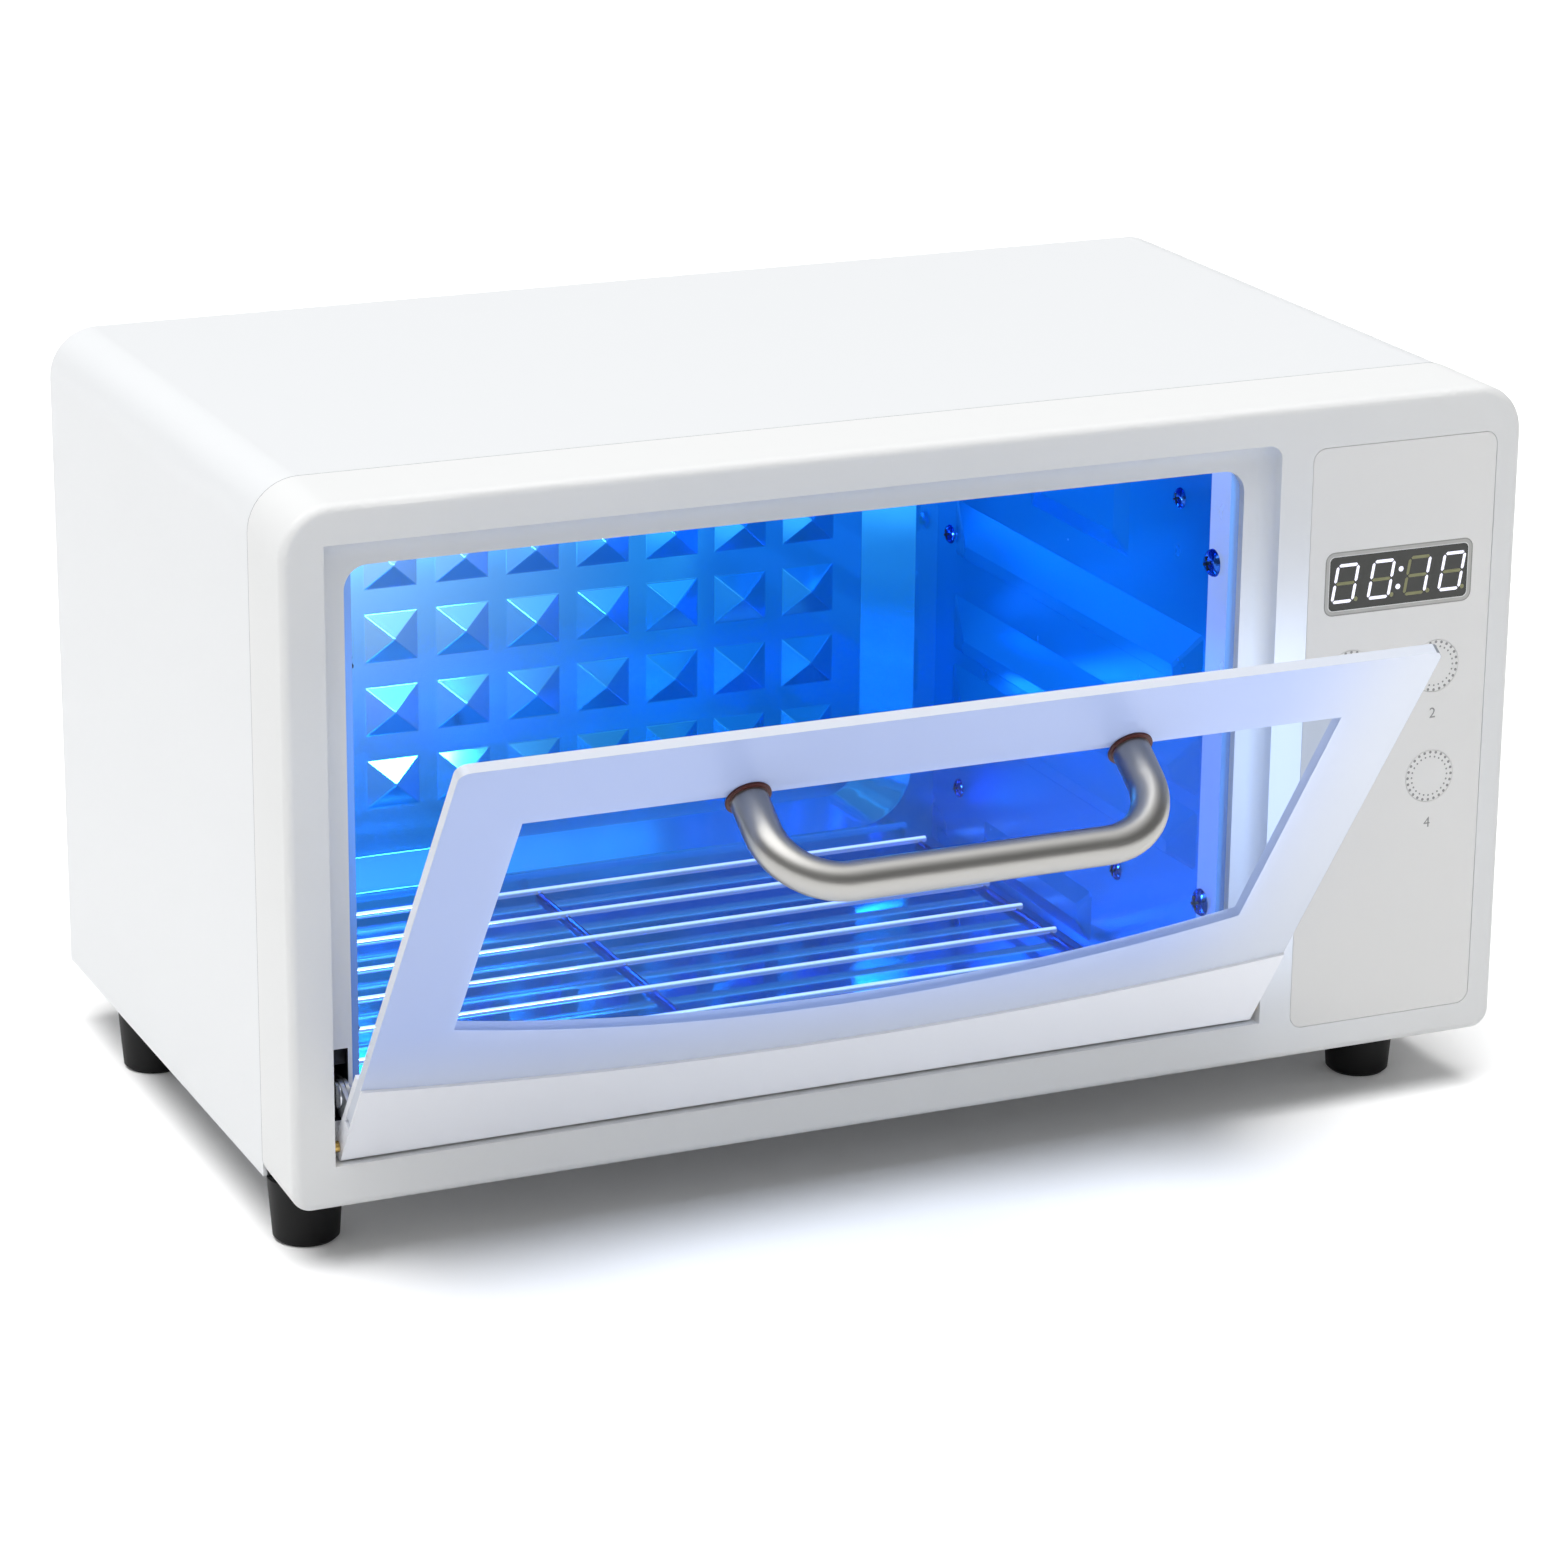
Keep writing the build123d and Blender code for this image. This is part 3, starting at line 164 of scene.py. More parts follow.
class CabinetColours(bpy.types.PropertyGroup):
    """Colours of the cabinet's finishes."""

    enamel: colour_property("Enamel", "#F2F4F6", "Powder-coated casing")
    moulding: colour_property("Moulding", "#F1F2F2", "Moulded front")
    # The rail's bluer tone is painted lamp light
    rail: colour_property("Door rail", "#EEF0F6", "Moulded rail under the glass")
    border: colour_property("Glass border", "#DEE4EF", "Ceramic print on the glass")
    border_lit: colour_property("Lit border", "#C0D2FF", "The glass border where the lamp shines into it")
    film: colour_property("Control film", "#F6F6F5", "Printed film on the control wall")
    # The chamber steel's blue is painted lamp light
    steel: colour_property("Chamber steel", "#30A0E6", "Polished steel under the blue lamp")
    glow_near: colour_property("Near glow", "#D0FFFF", "The lamp's light on the steel close to the lamp")
    glow_far: colour_property("Far glow", "#004488", "The lamp's light on the steel away from the lamp")
    lamp: colour_property("Lamp light", "#C0E2FF", "Light of the tube")
    handle: colour_property("Handle", "#ADACA9", "Satin nickel")
    ink: colour_property("Ink", "#9B9B9B", "Dots and numbers")
    lit: colour_property("Lit segment", "#F3F3FF", "Lit display segment")
    unlit: colour_property("Unlit segment", "#92926C", "Unlit display segment")


def sizes():
    """The sizes that the user has set."""
    return bpy.context.scene.cabinet_sizes


def tone(colour):
    """The linear colour of a hex value, or of one of the colours that the user has set."""
    return linear(colour) if colour.startswith("#") else getattr(bpy.context.scene.cabinet_colours, colour)


def add_node(tree, kind, sockets=None, **settings):
    """Adds a node with its settings, and fills its sockets.

    A socket takes a link from another socket or from a node's first output, a colour's name or hex value,
    or a plain value."""
    node = tree.nodes.new("ShaderNode" + kind)
    for name, value in settings.items():
        setattr(node, name, value)
    for name, value in (sockets or {}).items():
        if isinstance(value, bpy.types.Node):
            value = next(output for output in value.outputs if output.enabled)
        if isinstance(value, bpy.types.NodeSocket):
            tree.links.new(value, node.inputs[name])
        else:
            node.inputs[name].default_value = tone(value) if isinstance(value, str) else value
    return node


def place_on(tree):
    """The place on a piece, split into X, Y and Z."""
    return add_node(tree, "SeparateXYZ", {"Vector": add_node(tree, "TexCoord").outputs["Object"]}).outputs


def facing_strength(tree, direction, *span):
    """A strength that grows as the surface turns towards a direction of the object.

    span gives where the turn starts and ends, then the least and the most strength."""
    surface = add_node(tree, "NewGeometry").outputs["Normal"]
    facing = add_node(tree, "VectorMath", {0: surface, 1: direction}, operation="DOT_PRODUCT")
    return add_node(tree, "MapRange", dict(zip(RAMP, (facing.outputs["Value"], *span))))


def soft_overlap(tree, *ramps):
    """1 where both of two soft ramps are full, and fading to 0 where they start.

    Each ramp gives what it follows, where it starts and where it is full, then its least if that isn't 0."""
    parts = [add_node(tree, "MapRange", dict(zip(RAMP, ramp)), **SOFT) for ramp in ramps]
    return add_node(tree, "Math", {0: parts[0], 1: parts[1]}, operation="MULTIPLY")


def finish(name, build):
    """A material that build makes the first time, and that is found by its name after that."""
    material = bpy.data.materials.get(name)
    if not material:
        material = bpy.data.materials.new(name)
        material.use_nodes = True
        tree = material.node_tree
        tree.nodes.clear()
        add_node(tree, "OutputMaterial", {"Surface": build(tree)})
    return material


def solid_finish(
    name, colour, roughness, metallic=0.0, grain=0.4, relief=0.004, patchy=0.04, more=None, painted=None
):
    """A Principled finish whose roughness and surface vary with a fine grain.

    grain and relief are real sizes in millimetres, more holds values for the shader's other sockets, and
    painted makes the nodes that fill some of them."""

    def build(tree):
        place = add_node(tree, "TexCoord").outputs["Object"]
        noise = add_node(tree, "TexNoise", {"Vector": place, "Scale": 1 / (grain * MM), "Detail": 2.0})
        spread = {"Value": noise, "To Min": roughness - patchy, "To Max": roughness + patchy}
        bump = add_node(tree, "Bump", {"Height": noise, "Distance": relief * MM, "Strength": 1.0})
        sockets = {"Base Color": colour, "Roughness": add_node(tree, "MapRange", spread)}
        sockets.update({"Metallic": metallic, "Normal": bump}, **(more or {}))
        sockets.update(painted(tree) if painted else {})
        return add_node(tree, "BsdfPrincipled", sockets)

    return finish(name, build)


# The plain finishes: colour, roughness, metallic, grain and relief in millimetres, then, where it isn't
# usual, how much the roughness varies and other sockets
PLAIN_FINISHES = {
    # Powder-coated sheet steel: smooth and satin, with a very faint orange peel
    "white enamel": ("enamel", 0.42, 0.0, 1.6, 0.003),
    # The same moulding as the front, painted a shade bluer for the lamp's light that shines into it
    "rail ABS": ("rail", 0.42, 0.0, 0.5, 0.001),
    # A film with a fine matt face
    "matt polyester film": ("film", 0.55, 0.0, 0.3, 0.001),
    # Bead-blasted tube plated with nickel: broad soft highlights and a warm grey
    "satin nickel": ("handle", 0.36, 1.0, 0.25, 0.004, 0.05),
    # Nickel plating on screw heads: bright, and blue with painted lamp light deep in the chamber. Their
    # recess is painted dark for its shade
    "nickel-plated screw": ("#C9CCD2", 0.22, 1.0, 0.5, 0.002),
    "lit screw": ("#2F62C0", 0.18, 1.0, 0.6, 0.002),
    "cross recess": ("#2A2C30", 0.5, 0.6, 0.3, 0.001),
    # The rack's lower wires, painted darker for the shade of the upper ones, and blue for the lamp's light
    "shaded wire": ("#1F4C9C", 0.2, 1.0, 1.0, 0.002),
    # Passivated sheet, dull grey; turned brass, slightly dulled; oiled drawn wire; pressed aluminium
    "zinc-plated sheet": ("#AEB0B3", 0.42, 1.0, 3.0, 0.004),
    "turned brass": ("#C9A964", 0.3, 1.0, 0.4, 0.003),
    "oiled spring steel": ("#7B7C80", 0.3, 1.0, 0.4, 0.002),
    "lamp cap aluminium": ("#C4C8CE", 0.3, 1.0),
    # Moulded rubber, matt with a soft sheen at its edge
    "black rubber": ("#0B0B0C", 0.6, 0.0, 0.4, 0.006, 0.04, {"Specular IOR Level": 0.25}),
    # Cast silicone, a dull dark red ring round the handle's feet
    "dark red silicone": ("#4A1C18", 0.5, 0.0, 0.4, 0.003),
    # Moulded nylon, satin black
    "black nylon": ("#17181A", 0.45, 0.0, 0.5, 0.003),
    # The boards' semi-gloss green lacquer, and the dull epoxy and plastic cases of their parts
    "green solder resist": ("#1C5A34", 0.35, 0.0, 0.8, 0.002),
    "component case": ("#33384A", 0.45, 0.0, 0.5, 0.003),
    # White heat-resistant plastic, with the tube's blue light painted on as a blue tint and a glow
    "lamp holder plastic": (
        *("#9CC6FF", 0.4, 0.0, 0.4, 0.004, 0.04),
        {"Emission Color": "#1E6EFF", "Emission Strength": 0.3},
    ),
    # The quartz tube, alight
    "glowing quartz": (
        *("#CFE4FF", 0.2, 0.0, 0.4, 0.004, 0.04),
        {"Emission Color": "lamp", "Emission Strength": 0.8},
    ),
    # Dark polished acrylic over the display, with segments that shine and segments that are off
    "dark acrylic": ("#2E302D", 0.16, 0.0, 2.0, 0.0005),
    "lit segment": (
        *("#C8C8D8", 0.4, 0.0, 0.4, 0.004, 0.04),
        {"Emission Color": "lit", "Emission Strength": 0.85},
    ),
    "unlit segment": ("unlit", 0.6, 0.0, 0.2, 0.001),
    # Screen-printed inks, thin and matt
    "grey ink": ("ink", 0.6, 0.0, 0.2, 0.001),
    "frame grey": ("#A2A29E", 0.6, 0.0, 0.2, 0.001),
    "frame pale": ("#C4C4C1", 0.6, 0.0, 0.2, 0.001),
    # The ground edge gathers light and looks white, but not on the side where no light comes in
    "ground glass edge": ("#D6DCE8", 0.3),
    "shaded glass edge": ("#858B95", 0.35),
}


def plain(name):
    """One of the plain finishes."""
    return solid_finish(name, *PLAIN_FINISHES[name])


def white_abs():
    """Moulded ABS: satin, with the fine grain that a spark-eroded mould leaves.

    Its rear rim, which meets the casing, lies in the seam's shadow."""

    def seam(tree):
        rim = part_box("outer_casing")[0].y - SEAM_WIDTH
        in_seam = add_node(tree, "Math", {0: place_on(tree)["Y"], 1: rim}, operation="GREATER_THAN")
        tones = {"Factor": in_seam, "A": "moulding", "B": "#8C8F93"}
        return {"Base Color": add_node(tree, "Mix", tones, data_type="RGBA")}

    return solid_finish("white moulded ABS", "moulding", 0.5, grain=0.5, relief=0.002, painted=seam)


def polished_steel(name="polished stainless", roughness=0.12, colour="steel", metallic=1.0, glow=0.55):
    """Thin polished stainless sheet with the lamp's blue light painted on as a blue colour and a glow, palest
    near the lamp's left end.
    """

    def lamp_glow(tree):
        x, y, z = place_on(tree)
        across = (x, chamber_left + GLOW_END, chamber_left + GLOW_FULL)
        near = soft_overlap(tree, across, (z, floor_z, floor_z + GLOW_HEIGHT, 0.1))
        tones = {"Factor": near, "A": "glow_far", "B": "glow_near"}
        inside = add_node(tree, "Mix", tones, data_type="RGBA")
        # Painted light: the side liners' front lip glows pale
        lip_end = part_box("liner_right")[0].y + LINER_LIP
        lip = add_node(tree, "Math", {0: y, 1: lip_end}, operation="LESS_THAN")
        shade = add_node(tree, "Mix", {"Factor": lip, "A": inside, "B": "#C4DCFF"}, data_type="RGBA")
        # Painted light: the glow is stronger on faces turned up and to the left, and higher in the chamber
        strength = facing_strength(tree, (-0.5, 0.0, 1.3), -0.7, 0.9, 0.0, 2.2 * glow)
        rise = {"Value": z, "From Min": floor_z, "From Max": floor_z + CHAMBER_HEIGHT}
        height = add_node(tree, "MapRange", {**rise, "To Min": 0.75, "To Max": 1.5})
        raised = add_node(tree, "Math", {0: strength, 1: height}, operation="MULTIPLY")
        return {"Emission Color": shade, "Emission Strength": raised}

    return solid_finish(name, colour, roughness, metallic, 9.0, 0.003, 0.03, painted=lamp_glow)


def bright_wire():
    """Electropolished wire, blue with painted lamp light, with a painted highlight: a thin white glow along
    its top.
    """

    # Painted highlight: glows on faces turned up and to the front
    def line(tree):
        return {"Emission Strength": facing_strength(tree, (0.0, -0.45, 0.89), 0.72, 0.96, 0.26, 1.3)}

    glow = {"Emission Color": "#C8E6FF"}
    return solid_finish("bright wire", "#8CC0F8", 0.08, 1.0, 1.0, 0.001, more=glow, painted=line)


def ceramic_border():
    """White ceramic print fired on glass: satin, and a little light from behind comes through.

    Its outer face is painted bluer, as lamp light, where the lit chamber is behind it."""

    def build(tree):
        place = add_node(tree, "TexCoord").outputs
        noise = add_node(tree, "TexNoise", {"Vector": place["Object"], "Scale": 1 / (0.6 * MM)})
        bump = add_node(tree, "Bump", {"Height": noise, "Distance": 0.001 * MM})
        x, _, z = place_on(tree)
        # Painted lamp light: the outer face turns bluer where the chamber lies behind it
        beside = (x, chamber_right + 8 * MM, chamber_right - 40 * MM)
        above = (z, hinge_place.z + 5 * MM, hinge_place.z + 45 * MM)
        behind = soft_overlap(tree, beside, above)
        towards_room = (0.0, -0.82, -0.57)
        outward = add_node(tree, "VectorMath", {0: place["Normal"], 1: towards_room}, operation="DOT_PRODUCT")
        turn = {"Value": outward.outputs["Value"], "From Min": 0.0, "From Max": 0.5}
        outer_face = add_node(tree, "MapRange", turn)
        painted_lamp_tint = add_node(tree, "Math", {0: behind, 1: outer_face}, operation="MULTIPLY")
        tones = {"Factor": painted_lamp_tint, "A": "border", "B": "border_lit"}
        colour = add_node(tree, "Mix", tones, data_type="RGBA")
        face = add_node(tree, "BsdfPrincipled", {"Base Color": colour, "Roughness": 0.3, "Normal": bump})
        through = add_node(tree, "BsdfTranslucent", {"Color": "#F0F4FF"})
        return add_node(tree, "MixShader", {"Fac": SEEN_THROUGH, 1: face, 2: through})

    return finish("ceramic border", build)


def clear_glass():
    """Tempered glass: clear with a faint blue haze, and a reflection that grows at a slant."""

    def build(tree):
        place = add_node(tree, "TexCoord").outputs["Object"]
        noise = add_node(tree, "TexNoise", {"Vector": place, "Scale": 1 / (60 * MM)})
        haze_amount = add_node(tree, "MapRange", {"Value": noise, "To Min": 0.005, "To Max": 0.012})
        clear = add_node(tree, "BsdfTransparent", {"Color": "#F2F7FF"})
        haze = add_node(tree, "BsdfDiffuse", {"Color": "#C8DDFF"})
        hazy = add_node(tree, "MixShader", {"Fac": haze_amount, 1: clear, 2: haze})
        mirror = add_node(tree, "BsdfGlossy", {"Color": "#8090AC", "Roughness": 0.03})
        slant = add_node(tree, "Fresnel", {"IOR": 1.45})
        back = add_node(tree, "NewGeometry").outputs["Backfacing"]
        outside = add_node(tree, "Math", {0: 1.0, 1: back}, operation="SUBTRACT")
        gloss = add_node(tree, "Math", {0: slant, 1: outside}, operation="MULTIPLY")
        return add_node(tree, "MixShader", {"Fac": gloss, 1: hazy, 2: mirror})

    return finish("tempered glass", build)


def box_of(vertices):
    """The lowest and highest corner round some points."""
    low = Vector([min(point[axis] for point in vertices) for axis in range(3)])
    high = Vector([max(point[axis] for point in vertices) for axis in range(3)])
    return low, high


def shut_box(node):
    """Where a piece of the door is while the door is shut."""
    return box_of([door_shut @ vertex.co for vertex in frame["nodes"][node].data.vertices])


def copied(node, flatten=True):
    """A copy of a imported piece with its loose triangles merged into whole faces."""
    shape = bmesh.new()
    shape.from_mesh(frame["nodes"][node].data)
    bmesh.ops.remove_doubles(shape, verts=shape.verts, dist=0.002 * MM)
    if flatten:
        bmesh.ops.dissolve_limit(
            shape, angle_limit=math.radians(0.4), verts=shape.verts, edges=shape.edges, delimit=set()
        )
    return shape


def lumps(node, place=None):
    """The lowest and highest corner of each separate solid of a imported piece."""
    shape = copied(node, flatten=False)
    if place:
        bmesh.ops.transform(shape, matrix=place, verts=shape.verts)
    waiting = set(shape.verts)
    found = []
    while waiting:
        stack = [waiting.pop()]
        lump = []
        while stack:
            vertex = stack.pop()
            lump.append(vertex.co.copy())
            for edge in vertex.link_edges:
                other = edge.other_vert(vertex)
                if other in waiting:
                    waiting.discard(other)
                    stack.append(other)
        found.append(box_of(lump))
    shape.free()
    return found


def only(kind, geometry):
    """The corners, or the edges, among some geometry."""
    return [item for item in geometry if isinstance(item, kind)]


def show_piece(name, shape, finishes, body, slot, replaced=(), crease=32.0, rounding=0.0, place=None):
    """Makes a shape into a piece that is shown, in its finishes, and that moves with a body."""
    if place:
        bmesh.ops.transform(shape, matrix=place, verts=shape.verts)
    for face in shape.faces:
        face.smooth = True
    for edge in shape.edges:
        sharp = len(edge.link_faces) != 2 or edge.calc_face_angle() > math.radians(crease)
        edge.smooth = not sharp or rounding > 0
    mesh = bpy.data.meshes.new(name)
    shape.to_mesh(mesh)
    shape.free()
    for entry in finishes if isinstance(finishes, list) else [finishes]:
        mesh.materials.append(plain(entry) if isinstance(entry, str) else entry)
    piece = bpy.data.objects.new(name, mesh)
    bpy.context.scene.collection.objects.link(piece)
    if rounding:
        rounded = piece.modifiers.new("rounded edges", "BEVEL")
        rounded.width = rounding * MM
        rounded.segments = 2
        rounded.limit_method = "ANGLE"
        rounded.angle_limit = math.radians(crease)
        rounded.use_clamp_overlap = True
    even = piece.modifiers.new("even shading", "WEIGHTED_NORMAL")
    even.keep_sharp = True
    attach(piece, body)
    if replaced:
        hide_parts(*replaced)
    return piece


def show_copy(node, finishes, body, slot, **more):
    """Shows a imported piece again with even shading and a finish."""
    return show_piece(node + "_shown", copied(node), finishes, body, slot, replaced=[node], **more)


def paint(name, *nodes):
    """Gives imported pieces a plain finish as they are."""
    for node in nodes:
        materials = frame["nodes"][node].data.materials
        materials.clear()
        materials.append(plain(name))


def round_bevel(shape, geometry, width, segments=2, affect="EDGES"):
    """Rounds edges or corners of a shape that is being made."""
    bmesh.ops.bevel(
        shape,
        geom=geometry,
        offset=width,
        offset_type="OFFSET",
        affect=affect,
        segments=segments,
        profile=0.5,
        material=-1,
        clamp_overlap=affect == "EDGES",
    )


def thicken(shape, faces, step):
    """Draws flat faces out into plates."""
    drawn = bmesh.ops.extrude_face_region(shape, geom=faces, use_keep_orig=True)["geom"]
    bmesh.ops.translate(shape, vec=step, verts=only(BMVert, drawn))
    bmesh.ops.recalc_face_normals(shape, faces=shape.faces)


def rod(shape, start, end, radius, sides=16):
    """Adds a round rod between two points, and returns its corners."""
    line = end - start
    turn = line.to_track_quat("Z", "Y").to_matrix().to_4x4()
    made = bmesh.ops.create_cone(
        shape,
        cap_ends=True,
        segments=sides,
        radius1=radius,
        radius2=radius,
        depth=line.length,
        matrix=Matrix.Translation((start + end) / 2) @ turn,
    )
    return made["verts"]


def slab(shape, low, high):
    """Adds a plain block between two corners, and returns its corners."""
    size = high - low
    place = Matrix.Translation((low + high) / 2) @ Matrix.Diagonal((size.x, size.y, size.z, 1.0))
    return bmesh.ops.create_cube(shape, size=1.0, matrix=place)["verts"]


def closed_loop(shape, corners):
    """Adds corners joined in a ring, and returns the ring's edges."""
    ring = [shape.verts.new(corner) for corner in corners]
    return [shape.edges.new((ring[place - 1], ring[place])) for place in range(len(ring))]


def screw(shape, tip, top, shank_radius, head_radius, head_height):
    """Adds a screw with a domed head and a cross recess. The recess has the second finish, dark as painted
    shade.
    """
    axis = (top - tip).normalized()
    seat = top - axis * head_height
    turn = axis.to_track_quat("Z", "Y").to_matrix().to_4x4()
    rod(shape, tip, seat, shank_radius, sides=12)
    dome = bmesh.ops.create_uvsphere(shape, u_segments=24, v_segments=12, radius=head_radius)["verts"]
    bmesh.ops.scale(shape, vec=Vector((1, 1, head_height / head_radius)), verts=dome)
    edges = {edge for vertex in dome for edge in vertex.link_edges}
    faces = {face for vertex in dome for face in vertex.link_faces}
    cut = bmesh.ops.bisect_plane(
        shape,
        geom=[*dome, *edges, *faces],
        plane_co=Vector((0, 0, 0)),
        plane_no=Vector((0, 0, -1)),
        clear_outer=True,
    )
    bmesh.ops.holes_fill(shape, edges=only(BMEdge, cut["geom_cut"]), sides=0)
    head = [corner for corner in only(BMVert, cut["geom"]) if corner.is_valid]
    bmesh.ops.transform(shape, matrix=Matrix.Translation(seat) @ turn, verts=head)
    # The recess stands out of the dome's top by a hair, as a cross painted dark for the shade in its hollow
    arm = Vector((0.5, 0.11, 0.3)) * head_radius
    arm.z = head_height * 0.3
    spot = top - axis * (head_height * 0.27)
    for angle in (20, 110):
        cross = slab(shape, -arm, arm)
        spin = Matrix.Rotation(math.radians(angle), 4, "Z")
        bmesh.ops.transform(shape, matrix=Matrix.Translation(spot) @ turn @ spin, verts=cross)
        for face in {face for vertex in cross for face in vertex.link_faces}:
            face.material_index = 1


def show_screws(name, node, axis, out, body, head="nickel-plated screw", head_share=0.5, place=None):
    """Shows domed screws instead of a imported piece's plain ones, which all point along one axis.

    out tells from a screw's middle which way its head faces, and place turns the shut door's screws to
    where the door stands."""
    shape = bmesh.new()
    across = (axis + 1) % 3
    for low, high in lumps(node, place and place.inverted()):
        middle = (low + high) / 2
        radius = (high[across] - low[across]) / 2
        tip, top = middle.copy(), middle.copy()
        tip[axis], top[axis] = low[axis], high[axis]
        if out(middle) < 0:
            tip, top = top, tip
        screw(shape, tip, top, radius * head_share, radius, radius * 0.55)
    show_piece(name, shape, [head, "cross recess"], body, "zinc_screw", [node], place=place)


class CABINET_OT_casing(bpy.types.Operator):
    """Dress the casing, its base pan and its rear cover"""

    bl_idname = "cabinet.casing"
    bl_label = "Casing"

    def execute(self, context):
        show_copy("outer_casing", "white enamel", "cabinet", "white_enamel", rounding=0.3)
        show_copy("rear_cover", "white enamel", "cabinet", "white_enamel")
        show_copy("base_pan", "zinc-plated sheet", "cabinet", "galvanised")
        show_screws("cover_screw_set", "cover_screws", 1, lambda middle: 1, "cabinet", head_share=0.46)
        return {"FINISHED"}


class CABINET_OT_bezel(bpy.types.Operator):
    """Dress the moulded front"""

    bl_idname = "cabinet.bezel"
    bl_label = "Front bezel"

    rim_round: length_property("Rim rounding", 1.8, "Radius of the edge round the door's recess")
    side_gap: length_property("Side gap", 2.0, "Gap between the shut glass and the recess at each side")
    top_gap: length_property("Top gap", 2.1, "Gap between the shut glass and the recess at its top")
    slot_depth: length_property("Slot depth", 7.2, "Where the dark slots start behind the bezel's face")
    slot_foot: length_property("Slot foot", 39.0, "Height of the dark slots' lower end")
    slot_top: length_property("Slot top", 61.0, "Height of the dark slots' upper end")
    slot_width: length_property("Slot width", 4.8, "Width of the dark slots, in from the rail's ends")
    slot_beyond: length_property("Slot beyond", 0.8, "How far the dark slots reach past the rail's ends")

    def execute(self, context):
        shape = copied("front_bezel")
        round_bevel(shape, self.recess_rim(shape), self.rim_round, segments=5)
        self.shade_slots(shape)
        # The second finish paints the shade in the link slots dark
        finishes = [white_abs(), "black nylon"]
        show_piece(
            "front_bezel_shown", shape, finishes, "cabinet", "white_abs", ["front_bezel"], rounding=0.4
        )
        return {"FINISHED"}

    def shade_slots(self, shape):
        """Gives the walls of the slots beside the rail, where the hinge's links go in, the dark finish, as
        painted shade.
        """
        low, high = shut_box("door_rail")
        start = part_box("front_bezel")[0].y + self.slot_depth
        for face in shape.faces:
            middle = face.calc_center_median()
            from_end = min(middle.x - low.x, high.x - middle.x)
            beside = -self.slot_beyond < from_end < self.slot_width
            if beside and middle.y > start and self.slot_foot < middle.z < self.slot_top:
                face.material_index = 1

    def recess_rim(self, shape):
        """The edges where the face of the bezel turns into the door's recess, at its top and sides."""
        glass_low, glass_high = shut_box("door_glass")
        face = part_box("front_bezel")[0].y
        left, right = glass_low.x - self.side_gap, glass_high.x + self.side_gap
        top = glass_high.z + self.top_gap
        near = 0.3 * MM
        rim = []
        for edge in shape.edges:
            middle = (edge.verts[0].co + edge.verts[1].co) / 2
            on_face = all(abs(corner.co.y - face) < near for corner in edge.verts)
            on_side = min(abs(middle.x - left), abs(middle.x - right)) < near
            on_top = abs(middle.z - top) < near and left < middle.x < right
            if on_face and (on_side and middle.z < top or on_top):
                rim.append(edge)
        return rim


